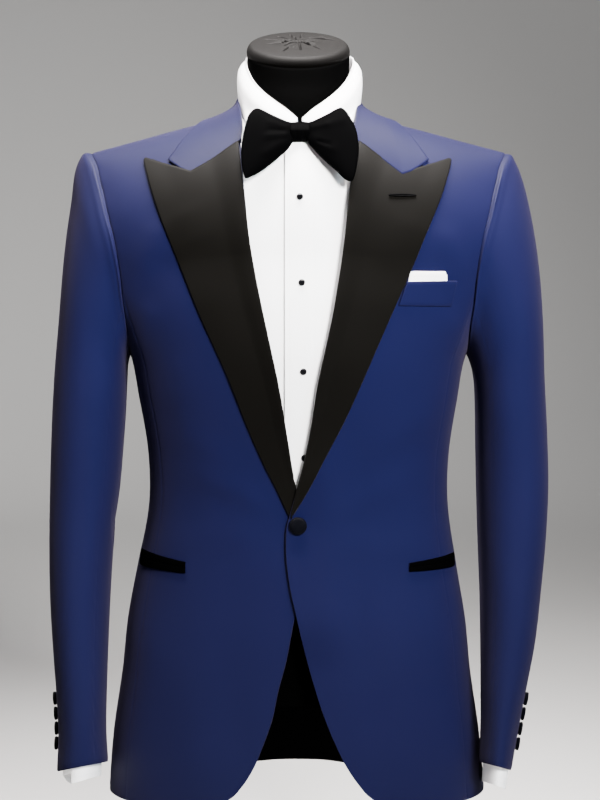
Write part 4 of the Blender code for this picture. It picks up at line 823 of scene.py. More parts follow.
def shell(name, grid, wall, finish, centre, wrap=False, crisp=False):
    """A closed thin cloth: the grid as its face, the same grid a wall behind it along its normals, and
    round the rim a middle line pushed out by RIM_OUT of the wall."""
    rows, columns = grid.shape[:2]
    out = normals(grid, centre, wrap)
    inner = grid - out * wall
    down, along = (unit(way) for way in slopes(grid, wrap))
    number = np.arange(rows * columns).reshape(rows, columns)
    if wrap:
        loops, sides = [number[0], number[-1][::-1]], [-down[0], down[-1][::-1]]
    else:
        loops = [np.concatenate([number[0, :-1], number[:-1, -1], number[-1, :0:-1], number[:0:-1, 0]])]
        sides = [np.concatenate([-down[0, :-1], along[:-1, -1], down[-1, :0:-1], -along[:0:-1, 0]])]
    flip = (np.cross(along, down) * out).sum() > 0
    half = rows * columns
    face = quads(rows, columns, wrap, flip)
    faces = [face, face[:, ::-1] + half]
    points = [grid.reshape(-1, 3), inner.reshape(-1, 3)]
    origin = [np.arange(half), np.arange(half)]
    start = 2 * half
    for loop, side in zip(loops, sides):
        points.append(((grid + inner) / 2).reshape(-1, 3)[loop] + unit(side) * wall * RIM_OUT)
        origin.append(loop)
        here = start + np.arange(len(loop))
        outer = np.stack([loop, here, next_round(here), next_round(loop)], axis=1)
        inward = np.stack([here, loop + half, next_round(loop) + half, next_round(here)], axis=1)
        faces += [outer[:, ::-1], inward[:, ::-1]] if flip else [outer, inward]
        start += len(loop)
    origin = np.concatenate(origin)
    u, v = arcs(grid)
    uv = np.stack([u.ravel(), v.ravel()], axis=1)[origin] * MM
    near = edge_distance(grid, wrap).ravel()[origin] * MM
    nearest_side = np.minimum(u, u[:, -1:] - u) < np.minimum(v, v[-1:, :] - v)
    run = np.where(nearest_side, v, u).ravel()[origin] * MM
    sharp = np.concatenate([np.stack([loop, next_round(loop)], axis=1) for loop in loops]) if crisp else None
    values = {"edge": near, "run": run}
    return put(name, np.concatenate(points), np.concatenate(faces), finish, values, uv, sharp)


def cloth(
    node, grid, wall, finish, rests_on, centre=BODY_MIDDLE, held="hung", wrap=False, name=None, crisp=False
):
    """A sewn piece: its shell, with the solid it stands for hidden."""
    made = shell(name or node + "_cloth", grid, wall, finish, centre, wrap, crisp)
    if node:
        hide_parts(node)
    return made


def wool(node, grid, rests_on, centre=BODY_MIDDLE):
    return cloth(node, grid, WOOL_WALL, WOOL, rests_on, centre, crisp=True)


def solid(name, rings, finish, replaced=()):
    """A closed body through rings of equal count, each end closed on its own middle point."""
    rows, columns = rings.shape[:2]
    ends = np.stack([rings[0].mean(axis=0), rings[-1].mean(axis=0)])
    first, last = (np.repeat(end[None], columns, 0)[None] for end in ends)
    whole = np.concatenate([first, rings, last])
    down, along = slopes(whole, True)
    flip = (np.cross(along, down) * (whole - whole.reshape(-1, 3).mean(axis=0))).sum() > 0
    body = quads(rows, columns, True, flip)
    number = np.arange(columns)
    after = next_round(number)
    top = np.stack([after, number, np.full(columns, rows * columns)], axis=1)
    low = np.stack([number, after, np.full(columns, rows * columns + 1)], axis=1)
    low[:, :2] += (rows - 1) * columns
    caps = np.concatenate([top, low])
    split = np.concatenate([body[:, [0, 1, 2]], body[:, [0, 2, 3]], caps[:, ::-1] if flip else caps])
    points = np.concatenate([rings.reshape(-1, 3), ends])
    u, v = arcs(rings)
    uv = np.concatenate([np.stack([u.ravel(), v.ravel()], axis=1), np.zeros((2, 2))]) * MM
    values = {"edge": np.ones(len(points)), "run": np.zeros(len(points))}
    made = put(name, points, split, finish, values, uv)
    if replaced:
        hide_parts(*replaced)
    return made


def refine(grid, rows, columns):
    """A coarse grid made fine: a smooth curve through its points along each way."""
    for axis, count in ((0, rows), (1, columns)):
        last = grid.shape[axis] - 1
        at = shares(count, 0.6) * last
        moved = np.moveaxis(grid, axis, 0)
        slope = np.gradient(moved, axis=0)
        span = np.clip(at.astype(int), 0, last - 1)
        t = (at - span).reshape((-1,) + (1,) * (moved.ndim - 1))
        grid = np.moveaxis(hermite(t, moved[span], moved[span + 1], slope[span], slope[span + 1]), 0, axis)
    return grid


def full_turn(count):
    return np.arange(count) * 2 * math.pi / count


def turned(name, profile, steps, finish, at, towards, replaced=()):
    """A profile of (radius, height) turned about the line through 'at' along 'towards'."""
    axis = unit(np.asarray(towards, float))
    side = unit(np.cross(axis, [0.0, 0.3, 1.0] if abs(axis[2]) < 0.9 else [1.0, 0.0, 0.0]))
    turn = full_turn(steps)[:, None]
    spoke = np.cos(turn) * side + np.sin(turn) * np.cross(axis, side)
    radius, height = np.array(profile, float).T[:, :, None, None]
    return solid(name, np.asarray(at) + radius * spoke + height * axis, finish, replaced)


def scaled(profile, radius, height):
    """A turned profile from shares of its radius and height, kept just off its axis."""
    return [(max(out * radius, OFF_AXIS), up * height) for out, up in profile]


def dome(reach, low, last, count):
    """Shares of a dome's radius and height, from its top down to the angle last."""
    angles = np.radians(np.linspace(2, last, count))
    return [(reach * math.sin(angle), low + (1 - low) * math.cos(angle)) for angle in angles]


def rope(name, path, radius, sides):
    """A closed thread: a small ring of points carried round a closed path."""
    ahead = unit(np.roll(path, -1, axis=0) - np.roll(path, 1, axis=0))
    up = unit(np.cross(ahead, [0.0, -1.0, 0.2]))
    turn = full_turn(sides)[None, :, None]
    grid = path[:, None] + radius * (np.cos(turn) * up[:, None] + np.sin(turn) * np.cross(ahead, up)[:, None])
    number = np.arange(len(path) * sides).reshape(len(path), sides)
    around, on = np.roll(number, -1, axis=1), np.roll(number, -1, axis=0)
    faces = np.stack([number, on, np.roll(on, -1, axis=1), around], axis=-1).reshape(-1, 4)
    first = np.cross(grid[1, 0] - grid[0, 0], grid[0, 1] - grid[0, 0])
    flip = (first * (grid[0, 0] - path[0])).sum() < 0
    made = put(name, grid.reshape(-1, 3), faces[:, ::-1] if flip else faces, THREAD)
    return made


# ---- finishes ----


def add(tree, kind, inputs=(), **settings):
    """A node with its settings, and its inputs set to a number, a colour or another node's output."""
    made = tree.nodes.new(kind)
    for key, value in settings.items():
        setattr(made, key, value)
    for key, value in dict(inputs).items():
        if isinstance(value, bpy.types.NodeSocket):
            tree.links.new(value, made.inputs[key])
        else:
            made.inputs[key].default_value = value
    return made


def sums(tree, operation, *values):
    """One Math node's output."""
    return add(tree, "ShaderNodeMath", enumerate(values), operation=operation).outputs[0]


def varied(tree, tone, mask, by):
    """The tone raised by a share where the mask is 1."""
    return sums(tree, "MULTIPLY", tone, sums(tree, "MULTIPLY_ADD", mask, by, 1.0))


def group(name, inputs, outputs, build):
    """A shader node group: inputs are names with defaults, outputs names; build returns their sockets."""
    tree = bpy.data.node_groups.new(name, "ShaderNodeTree")
    for label, start in inputs.items():
        socket = tree.interface.new_socket(label, in_out="INPUT", socket_type="NodeSocketFloat")
        socket.default_value = start
    for label in outputs:
        tree.interface.new_socket(label, in_out="OUTPUT", socket_type="NodeSocketFloat")
    given = tree.nodes.new("NodeGroupInput")
    result = tree.nodes.new("NodeGroupOutput")
    for label, socket in zip(outputs, build(tree, given.outputs)):
        tree.links.new(socket, result.inputs[label])
    return tree


def build_weave(tree, given):
    """Threads seen as height: a twill rib along one diagonal, crossed by a plain weave in a given share."""
    place = add(tree, "ShaderNodeSeparateXYZ", {0: add(tree, "ShaderNodeUVMap", uv_map="cloth").outputs[0]})
    turns = sums(tree, "DIVIDE", 2 * math.pi, given["Thread"])
    u, v = (sums(tree, "MULTIPLY", place.outputs[axis], turns) for axis in (0, 1))
    twill = sums(tree, "SINE", sums(tree, "ADD", u, sums(tree, "MULTIPLY", v, given["Slant"])))
    plain = sums(tree, "MULTIPLY", sums(tree, "SINE", u), sums(tree, "SINE", v))
    rest = sums(tree, "MULTIPLY", twill, sums(tree, "SUBTRACT", 1.0, given["Plain"]))
    return [sums(tree, "ADD", rest, sums(tree, "MULTIPLY", plain, given["Plain"]))]


def build_mottle(tree, given):
    """Slow cloudy variation and fine fibre speckle, both from 0 to 1."""
    place = add(tree, "ShaderNodeTexCoord").outputs["Object"]
    return [
        add(tree, "ShaderNodeTexNoise",
            {"Vector": place, "Scale": given[name], "Detail": detail, "Roughness": rough}).outputs[0]
        for name, detail, rough in (("Cloud", 3.0, 0.5), ("Speckle", 2.0, 0.6))
    ]


def build_stitches(tree, given):
    """Short stitches in a row: 1 on a stitch, at a set distance from the piece's edge."""
    edge, run = (
        add(tree, "ShaderNodeAttribute", attribute_name=name).outputs["Fac"] for name in ("edge", "run")
    )
    off = sums(tree, "ABSOLUTE", sums(tree, "SUBTRACT", edge, given["Inset"]))
    row = sums(tree, "LESS_THAN", off, given["Half width"])
    along = sums(tree, "FRACT", sums(tree, "DIVIDE", run, given["Pitch"]))
    dash = sums(tree, "LESS_THAN", along, STITCH_SHARE)
    return [sums(tree, "MULTIPLY", row, dash)]


WEAVE = group("weave", {"Thread": 0.0007, "Slant": 1.0, "Plain": 0.0}, ["Height"], build_weave)
MOTTLE = group("mottle", {"Cloud": 9.0, "Speckle": 900.0}, ["Cloud", "Speckle"], build_mottle)
STITCHES = group(
    "stitches", {"Inset": 0.005, "Half width": 0.0004, "Pitch": 0.003}, ["Stitch"], build_stitches
)


def finish(name, slot, colour, roughness, bump, cloud, speckle, weave=None, stitch=None, **constants):
    """A material: colour varied by mottle and weave, bump from weave and stitches, constants on the shader.

    weave is (thread, slant, plain, tone) and stitch (inset, half width, pitch, tone, height), with
    lengths in metres; bump is the height of the weave.
    """
    made = bpy.data.materials.new(name)
    made.use_nodes = True
    tree = made.node_tree
    shader = tree.nodes["Principled BSDF"]
    for key, value in constants.items():
        shader.inputs[key.replace("_", " ")].default_value = value
    mottle = add(tree, "ShaderNodeGroup", node_tree=MOTTLE).outputs
    tone, grain = (
        sums(tree, "MULTIPLY_ADD", mottle[label], 2 * share, 1 - share)
        for label, share in (("Cloud", cloud), ("Speckle", speckle))
    )
    tone = sums(tree, "MULTIPLY", tone, grain)
    height = sums(tree, "MULTIPLY", mottle["Speckle"], FUZZ)
    if weave:
        thread = add(tree, "ShaderNodeGroup", enumerate(weave[:3]), node_tree=WEAVE).outputs[0]
        tone = varied(tree, tone, thread, weave[3])
        height = sums(tree, "ADD", height, thread)
    if stitch:
        sewn = add(tree, "ShaderNodeGroup", enumerate(stitch[:3]), node_tree=STITCHES).outputs[0]
        tone = varied(tree, tone, sewn, stitch[3])
        height = sums(tree, "ADD", height, sums(tree, "MULTIPLY", sewn, stitch[4]))
    shade = add(tree, "ShaderNodeVectorMath", {0: colour, "Scale": tone}, operation="SCALE")
    rough = sums(tree, "MULTIPLY_ADD", mottle["Cloud"], ROUGHNESS_SWING, roughness - ROUGHNESS_SWING / 2)
    raised = add(tree, "ShaderNodeBump", {"Height": height, "Strength": 1.0, "Distance": bump})
    for node, label in ((shade, "Base Color"), (rough.node, "Roughness"), (raised, "Normal")):
        tree.links.new(node.outputs[0], shader.inputs[label])
    return made


WOOL = finish(
    "blue_wool", "blue_wool", (0.0029, 0.0034, 0.0205), 0.6, 0.00003, 0.10, 0.10, (0.0008, 1.0, 0.15, 0.04),
    Sheen_Weight=0.025, Sheen_Roughness=0.5, Sheen_Tint=(0.82, 0.66, 0.90, 1), Specular_IOR_Level=0.13,
)
SATIN = finish(
    "black_satin", "black_satin", (0.0022, 0.0020, 0.0017), 0.62, 0.000004, 0.10, 0.05, SATIN_WEAVE,
    Sheen_Weight=0.02, Sheen_Roughness=0.4, Sheen_Tint=(0.95, 0.88, 0.8, 1), Specular_IOR_Level=0.07,
)
TIE_SATIN = finish(
    "tie_satin", "black_satin", (0.0004, 0.0004, 0.00045), 0.6, 0.000004, 0.10, 0.05, SATIN_WEAVE,
    Specular_IOR_Level=0.005,
)
COTTON = finish(
    "white_cotton", "white_cotton", (0.92, 0.92, 0.925), 0.75, 0.00004, 0.01, 0.02,
    (0.0007, 0.0, 1.0, 0.03), (0.005, 0.0004, 0.0028, -0.10, -2.0), Sheen_Weight=0.1,
)
LINING = finish(
    "black_lining", "black_satin", (0.0012, 0.0012, 0.0016), 0.55, 0.00001, 0.1, 0.05,
    (0.0006, 0.1, 0.2, 0.02), Specular_IOR_Level=0.06,
)
JERSEY = finish(
    "form_jersey", "form_jersey", (0.0004, 0.0004, 0.0004), 0.8, 0.00002, 0.1, 0.12,
    (0.0012, 0.0, 0.6, 0.05), Specular_IOR_Level=0.004,
)
CAP = finish(
    "cap_cloth", "cap_cloth", (0.0008, 0.0007, 0.0006), 0.66, 0.00003, 0.14, 0.12, (0.0011, 0.0, 0.9, 0.05),
    Sheen_Weight=0.004, Sheen_Tint=(0.95, 0.86, 0.82, 1), Specular_IOR_Level=0.15,
)
THREAD = finish(
    "thread", "black_satin", (0.0008, 0.0008, 0.0009), 0.8, 0.00005, 0.1, 0.2, Specular_IOR_Level=0.03
)
BUTTON = finish(
    "covered_button", "black_satin", (0.0012, 0.0013, 0.0022), 0.5, 0.00003, 0.08, 0.06,
    (0.0007, 0.6, 0.3, 0.05), Sheen_Weight=0.01, Specular_IOR_Level=0.08,
)
STUD = finish(
    "black_stud", "black_stud", (0.002, 0.002, 0.0025), 0.14, 0.00001, 0.05, 0.02, Specular_IOR_Level=0.3
)
STEEL = finish(
    "stand_steel", "stand_steel", (0.006, 0.006, 0.0065), 0.42, 0.00003, 0.12, 0.08, Specular_IOR_Level=0.3
)


# ---- jacket body ----


def panel_rows():
    """Heights of the rows of a body panel: close at the hem, even up the body, by angle over the shoulder."""
    hem = [0, 0.6, 1.3, 2.2, 3.4, 5, 7, 9.5, 12.5, 16, 20]
    body = np.arange(hem[-1] + ROW_STEP, CHEST_TOP - 1, ROW_STEP)
    return np.concatenate([hem, body, arch_height(np.linspace(*SHOULDER_ROWS, 46))])


def hang(points, height):
    """How far the jacket's cloth swells from the plain body surface, in mm: its folds and unevenness."""
    x, y = points[..., 0], points[..., 1]
    front = ridges(x, height, BODY_FOLDS) + unevenness(x, height, 0.55)
    back = ridges(x, height, BACK_FOLDS) + unevenness(x + 60, height + 40, 0.6)
    return mix(front, back, ease(y, -35, 35))


def hang_in_front(x, height):
    return hang(xyz(x, -100.0, 0), height)


def seam_roll(distance, dip, reach):
    """The dip of a pressed seam, in mm, at a distance from it."""
    return -dip * bell(distance, reach)


def pucker(grid, distance):
    """A faint pull along a sewn seam, in mm."""
    run = arcs(grid)[1]
    return PUCKER * np.sin(run / 4.2 + 1.5 * np.sin(run / 23)) * bell(distance, PUCKER_REACH)


def panel(heights, degrees, side, seams, lift=0.0):
    """A body panel: the body surface moved out by its folds and in at its seams; side is +1 or -1."""
    flat = ring_point(heights, degrees)
    near, hem = edge_distance(flat, sides=seams), edge_distance(flat, sides="t")
    seams = seam_roll(near, *BODY_SEAM) + pucker(flat, near) + seam_roll(hem, *HEM_ROLL)
    out = hang(sided(flat, side), heights) + seams
    return sided(body_cloth(heights, degrees, out + lift), side)


def outer_angle(heights, side):
    """The outer boundary of a front or back panel: its seam, then the armhole."""
    at_armhole = angle_at(armhole_x(heights) - SEAM_GAP, heights, side)
    return np.where(heights <= SEAM_TOP, seam_angle(side), at_armhole)


def seam_angle(side):
    return float(angle_at(armhole_x(SEAM_TOP), np.array(SEAM_TOP), side))


def across_panel(inner, outer, columns, even=0.45):
    """Angles of a panel's columns from its inner to its outer boundary."""
    return mix(np.asarray(inner)[..., None], np.asarray(outer)[..., None], shares(columns, even)[None])


def sagged(grid):
    """The back's hem hangs 2 to 4 mm lower a little way each side of its middle: a bell at each place."""
    x, z = grid[..., 0], grid[..., 2]
    sag = sum(deep * bell(x - middle, reach) for deep, middle, reach in BACK_SAG)
    return grid - xyz(0, 0, sag * (1 - ease(z, 0, SAG_TOP)))


def make_body(form):
    made = []
    rows = panel_rows()
    heights = rows[:, None]
    for label, edge, side in (("left", FRONT_EDGE_LEFT, 1), ("right", FRONT_EDGE_RIGHT, -1)):
        reach = read(edge, rows, "reach") + FRONT_UNDER_ROLL * ease(rows, 310, 335)
        degrees = across_panel(angle_at(reach, rows, -1), outer_angle(rows, -1), 84)
        lift = lap_lift(ring_point(heights, degrees)[..., 0], heights) if side > 0 else 0.0
        made.append(wool(f"front_{label}", panel(heights, degrees, side, "r", lift), [form]))
    under = np.append(rows[rows <= SEAM_TOP][:-1], SEAM_TOP)[:, None]
    for label, side in SIDES:
        inner = angle_at(np.maximum(neck_hole_x(rows, 1, JACKET_NECK_HALF), 0.12), rows, 1)
        degrees = across_panel(inner, outer_angle(rows, 1), 80)
        made.append(wool(f"back_{label}", sagged(panel(heights, degrees, side, "lr")), [form]))
        first, last = seam_angle(-1) + SIDE_GAP, seam_angle(1) - SIDE_GAP
        degrees = across_panel(first, last, 44) * np.ones_like(under)
        share = np.clip((under - UNDERARM_ROW) / (SEAM_TOP - UNDERARM_ROW), 0, None)
        top = armhole_height(degrees, SEAM_GAP)
        lowered = np.where(under > UNDERARM_ROW, UNDERARM_ROW + share * (top - UNDERARM_ROW), under)
        made.append(wool(f"side_{label}", panel(lowered, degrees, side, "lr"), [form]))
    return made


def make_lining(jacket):
    """The back lining: the body surface inside the backs, turned in at its hem, pleated by a cosine of x."""
    heights = np.concatenate([[0.3, 1.0, 2.2, 4, 7, 11, 16], np.linspace(21, 260, 44)])[:, None]
    degrees = mix(180.0, seam_angle(1) - 7.0, np.linspace(0, 1, 44))[None] * np.ones_like(heights)
    x = ring_point(heights, degrees)[..., 0]
    pleats = PLEAT_RISE * np.cos(x / 13 + 0.6 * np.sin(heights / 40)) * ease(heights, 8, 60)
    half = body_cloth(heights, degrees, pleats - LINING_IN_HEM - LINING_IN_MORE * ease(heights, 0, 30))
    whole = sagged(np.concatenate([mirrored(half)[:, :0:-1], half], axis=1))
    cloth("lining_back", whole, LINING_WALL, LINING, jacket)


# ---- lapels, collar, pockets ----


def rounded_corner(t, across, reach):
    """Shares whose far corner is rounded: a square corner of the given reach bent to a quarter disc."""
    t, across = spread(t, across)
    u, v = (np.clip(1 - (1 - share) / far, 0, 1) for share, far in ((t, reach[0]), (across, reach[1])))
    in_corner = (u > 0) & (v > 0)
    v_bent = 1 - (1 - v * np.sqrt(1 - u**2 / 2)) * reach[1]
    t_bent = 1 - (1 - u * np.sqrt(1 - v**2 / 2)) * reach[0]
    return np.where(in_corner, t_bent, t), np.where(in_corner, v_bent, across)


def notch(share, at):
    """1 at a notch's deepest place across an edge and 0 at the edge's two ends."""
    return np.minimum(share / at, (1 - share) / (1 - at))


def lapel_grid(lapel, side):
    """A lapel: from the closing point to the gorge, and across from its roll line to its outer edge.

    It lies LAPEL_OUT off the front, higher along the roll and at the peak, and its inner edge is carried
    on round a half circle of ROLL_RADIUS, under itself.
    """
    t, across = rounded_corner(shares(120, 0.7)[:, None], shares(44, 0.5)[None, :], PEAK_ROUND)
    row = row_at(lapel, t, np.linspace(0, 1, len(lapel["roll"])))
    x = mix(row["roll"] + ROLL_SHY * ROLL_RADIUS, row["edge"], across)
    height = mix(row["roll_height"], row["edge_height"], across)
    height = height - GORGE_DIP * notch(across, GORGE_AT) * ease(t, GORGE_FROM, 1.0)
    out = LAPEL_OUT + LAPEL_ROLL * (1 - ease(across, 0, ROLL_WIDE)) * ease(height, *ROLL_HEIGHTS)
    out = out + PEAK_LIFT * ease(across, PEAK_FROM[1], 1.0) * ease(t, PEAK_FROM[0], 1.0)
    ripple = LAPEL_RIPPLE * np.sin(height / 26 + x / 19) * ease(across, 0.1, 0.5)
    out = out + hang_in_front(x * side, height) + ripple
    out = out + (lap_lift(x, height) if side > 0 else 0)
    face = cloth_at(x, tape_of(height), out)
    toward = unit(face[:, :1] - face[:, 3:4])
    first = x[:, :1], tape_of(height[:, :1])
    depth_way = unit(cloth_at(*first, 0.0) - cloth_at(*first, 4.0))
    sine, cosine = sine_cosine(np.array([168, 140, 112, 84, 56, 28])[None, :, None])
    rolled = face[:, :1] + (toward * sine + depth_way * (1 - cosine)) * ROLL_RADIUS
    return sided(np.concatenate([rolled, face], axis=1), side)


def make_lapels(jacket):
    for label, lapel, side in (("left", LAPEL_LEFT, 1), ("right", LAPEL_RIGHT, -1)):
        cloth(f"lapel_{label}", lapel_grid(lapel, side), LAPEL_WALL, SATIN, jacket, held="folded")


def make_buttonhole():
    """The worked buttonhole on the left lapel: a thread rope round a slit, a flat ellipse that slopes up."""
    half, half_high, slope = BUTTONHOLE_HALF
    turn = full_turn(64)
    x = BUTTONHOLE_AT[0] + np.cos(turn) * half
    height = BUTTONHOLE_AT[1] + np.sin(turn) * half_high + np.cos(turn) * slope
    out = BUTTONHOLE_OUT + hang_in_front(x, height)
    rope("lapel_buttonhole", cloth_at(x, tape_of(height), out), BUTTONHOLE_THREAD, 8)


def collar_half(rows):
    """Half of the collar, from the gorge to the centre back: stand, fold, and the fall down to its edge.

    The stand goes up from the neck seam by the row's rise; the fall is mixed from the fold's top to the cloth
    resting on the body, and is notched by COLLAR_NOTCH_DIP at the gorge.
    """
    t = np.linspace(0, 1, rows)
    row = row_at(COLLAR_ROWS, t, np.linspace(0, 1, len(COLLAR_ROWS["rise"])))
    begins, ends = CLOSER_SHARES
    closer = COLLAR_CLOSER * ease(t, *begins) * (1 - ease(t, *ends))
    seam = cloth_at(row["seam_x"] - COLLAR_SEAM_SHY - closer, row["seam_tape"], 0.3)
    fold = seam + xyz(COLLAR_STAND_LEAN * row["rise"], 0, row["rise"])
    outward = unit(on_tape(row["seam_x"], row["seam_tape"]) - np.array([0, NECK_CENTRE_Y, 0]))
    outward = unit(outward * np.array([1.0, 1.0, 0.0]))
    columns = [seam, mix(seam, fold, 0.55), fold, fold + outward * 1.2 + np.array([0, 0, 1.6])]
    for share in COLLAR_SHARES:
        tape = mix(row["seam_tape"], row["edge_tape"], share)
        tape = tape - COLLAR_NOTCH_DIP * notch(share, COLLAR_NOTCH_AT) * (1 - ease(t, 0, 0.13))
        x = mix(row["seam_x"], row["edge_x"], share)
        resting = cloth_at(x, tape, COLLAR_FALL_OUT + 1.0 * (1 - share))
        columns.append(mix(fold + outward * COLLAR_FOLD_OUT, resting, float(ease(share, -0.15, 0.85))))
    return np.stack(columns, axis=1)


def make_collar(jacket):
    grid = refine(closed_by_mirror(collar_half(60)), 150, 40)
    cloth("collar", grid, COLLAR_WALL, WOOL, jacket, COLLAR_MIDDLE, "folded")


def patch(node, corners, wall, material, front, out_low, out_high, side=1, groove=0.0, **more):
    """A flat piece on a front: the body surface moved out, domed slightly to its edges, with a groove.

    Its corners are (x, height) of the inner end, low and high, then of the outer end.
    """
    inner_low, inner_high, outer_low, outer_high = (np.array(corner, float) for corner in corners)
    up, across = shares(26, 0.5)[:, None, None], shares(64, 0.5)[None, :, None]
    flat = mix(mix(inner_low, outer_low, across), mix(inner_high, outer_high, across), up)
    x, height, up = flat[..., 0], flat[..., 1], up[..., 0]
    out = mix(out_low, out_high, up) + wall + hang_in_front(x * side, height)
    out = out - PATCH_EDGE_DIP * bell(np.minimum(up, 1 - up), 0.07) - groove * bell(up - 0.5, 0.05)
    return cloth(node, sided(cloth_at(x, tape_of(height), out), side), wall * 0.8, material, [front], **more)


def make_pockets(left, right):
    hips = (("left", HIP_WELT_LEFT, left, 1), ("right", HIP_WELT_RIGHT, right, -1))
    for label, corners, front, side in hips:
        patch(f"hip_welt_{label}", corners, WELT_WALL, TIE_SATIN, front, 1.3, 1.3, side, groove=0.5)
    patch("breast_welt", BREAST_WELT, WELT_WALL, WOOL, left, 0.7, 3.0)
    patch("pocket_square", SQUARE_FRONT, 1.2, COTTON, left, 1.0, 1.2, held="folded")
    patch(None, SQUARE_BEHIND, 0.8, COTTON, left, 0.0, 0.0, held="folded", name="pocket_square_inner_fold")


# ---- sleeves ----


def sleeve_cloth(sleeve, folds, first, last, columns):
    """A sleeve piece: the plain tube moved out by its folds, full at the head and in at its seams."""
    down = shares(170, 0.75)[:, None] * np.ones((1, columns))
    at = down * SLEEVE_ROWS
    degrees = mix(mix(first[0], first[1], down), mix(last[0], last[1], down), shares(columns)[None])
    flat = sleeve_grid(sleeve, at, degrees)
    centre = sleeve_middle(sleeve, at)
    turn = degrees % 360
    a, b = turn * SLEEVE_DEGREE_MM, at * SLEEVE_ROW_MM
    swell = ridges(a, b, folds) + ridges(a - 360 * SLEEVE_DEGREE_MM, b, folds) + unevenness(a, b, 0.6)
    swell = swell * (1 - QUIET_SHARE * bell(turn - 180, QUIET_REACH)) * ease(b, 0, HEAD_FADE)
    near, cap, end = (edge_distance(flat, sides=sides) for sides in ("lr", "t", "b"))
    outward = (np.cos(np.radians(degrees)) * 0.5 + 0.5) ** 0.7
    head = HEAD_RISE * outward * bell(cap - HEAD_AT, HEAD_REACH)
    out = swell + head + pucker(flat, near) + seam_roll(near, *SLEEVE_SEAM)
    out = out + seam_roll(cap, *HEAD_SEAM) + seam_roll(end, *HEM_ROLL)
    return flat + normals(flat, centre) * out[..., None], centre


def make_sleeves(jacket):
    back, front = np.array(BACK_SEAM_ANGLES), np.array([FRONT_SEAM_ANGLE] * 2)
    for label, sleeve, folds, side in (
        ("left", SLEEVE_LEFT, SLEEVE_FOLDS_LEFT, 1), ("right", SLEEVE_RIGHT, SLEEVE_FOLDS_RIGHT, -1),
    ):
        pieces = (("topsleeve", back, front, 84), ("undersleeve", front, back + 360, 60))
        for piece, first, last, columns in pieces:
            grid, centre = sleeve_cloth(sleeve, folds, first + SLEEVE_GAP, last - SLEEVE_GAP, columns)
            wool(f"{piece}_{label}", sided(grid, side), jacket, sided(centre, side))
        make_armhole_tape(label, sleeve, side, jacket)
        make_sleeve_buttons(label, sleeve, side)


def make_armhole_tape(label, sleeve, side, jacket):
    """The seam tape inside an armhole: two rings on the body side, then two a little way down the sleeve."""
    turn = np.degrees(full_turn(160))[None]
    tube = moved_in(sleeve_grid(sleeve, *spread(np.array([[0.0], [0.1], [0.3]]), turn)), TAPE_INSET)
    on_body = [armhole_ring(turn, shy, out) for shy, out in TAPE_EDGES]
    tape = sided(np.concatenate([*on_body, tube[1:]]), side)
    name = f"armhole_tape_{label}"
    cloth(None, tape, TAPE_WALL, WOOL, jacket, tape.mean(axis=(0, 1)), wrap=True, name=name)


def make_sleeve_buttons(label, sleeve, side):
    """Covered buttons in a row by the cuff, each square to the sleeve, with a ring of thread in its dip."""
    rows = np.linspace(0, SLEEVE_ROWS, 151)
    outline = sleeve_ring(sleeve, rows, SLEEVE_BUTTON_ANGLE)[:, 2]
    radius, tall = SLEEVE_BUTTON_RADIUS, SLEEVE_BUTTON_HEIGHT
    for number, height in enumerate(SLEEVE_BUTTON_HEIGHTS, 1):
        at = float(np.interp(-height, -outline, rows))
        here = sleeve_ring(sleeve, at, SLEEVE_BUTTON_ANGLE)
        down = sleeve_ring(sleeve, at + 0.1, SLEEVE_BUTTON_ANGLE) - here
        normal = unit(np.cross(down, sleeve_ring(sleeve, at, SLEEVE_BUTTON_ANGLE + 2) - here))
        normal = normal * np.sign(normal[0])
        seat, normal = sided(here + normal * BUTTON_SHANK, side), sided(normal, side)
        down = unit(sided(down, side))
        name = f"sleeve_button_{label}_{number}"
        turned(name + "_dressed", scaled(RIMMED, radius, tall), 36, BUTTON, seat, normal, [name])
        turn = full_turn(24)[:, None]
        ring = THREAD_RING * radius * (np.cos(turn) * down + np.sin(turn) * np.cross(normal, down))
        rope(name + "_thread", seat + normal * (0.62 * tall + THREAD_UP) + ring, THREAD_RADIUS, 6)


# ---- shirt ----


def shirt_collar_points(degrees, slant):
    """Columns of the shirt collar at each angle: band, fold and leaf, whose angle may lead the band's.

    The band is the neck's ring moved out, below the fold; the leaf falls from the fold by SHIRT_LEAF_DROP
    while it stands off the neck by the reach of each SHIRT_LEAF row.
    """
    fold_height = read(SHIRT_COLLAR_ROWS, degrees, "fold_height")
    band_drop = mix(*SHIRT_BAND_DROP, ease(degrees, 0, 110))
    columns = [on_neck(degrees, fold_height - band_drop * share, SHIRT_BAND_OUT) for share in (1.0, 0.5, 0.0)]
    columns.append(on_neck(degrees, fold_height + SHIRT_FOLD_HALF, SHIRT_BAND_OUT + SHIRT_FOLD_HALF))
    for share, reach in SHIRT_LEAF:
        led = degrees + slant * share
        height = mix(fold_height, read(SHIRT_COLLAR_ROWS, led, "fold_height"), 0.5) - SHIRT_LEAF_DROP * share
        columns.append(in_front(on_neck(led, height, reach), SHIRT_COLLAR_REST))
    return np.stack(columns, axis=1)


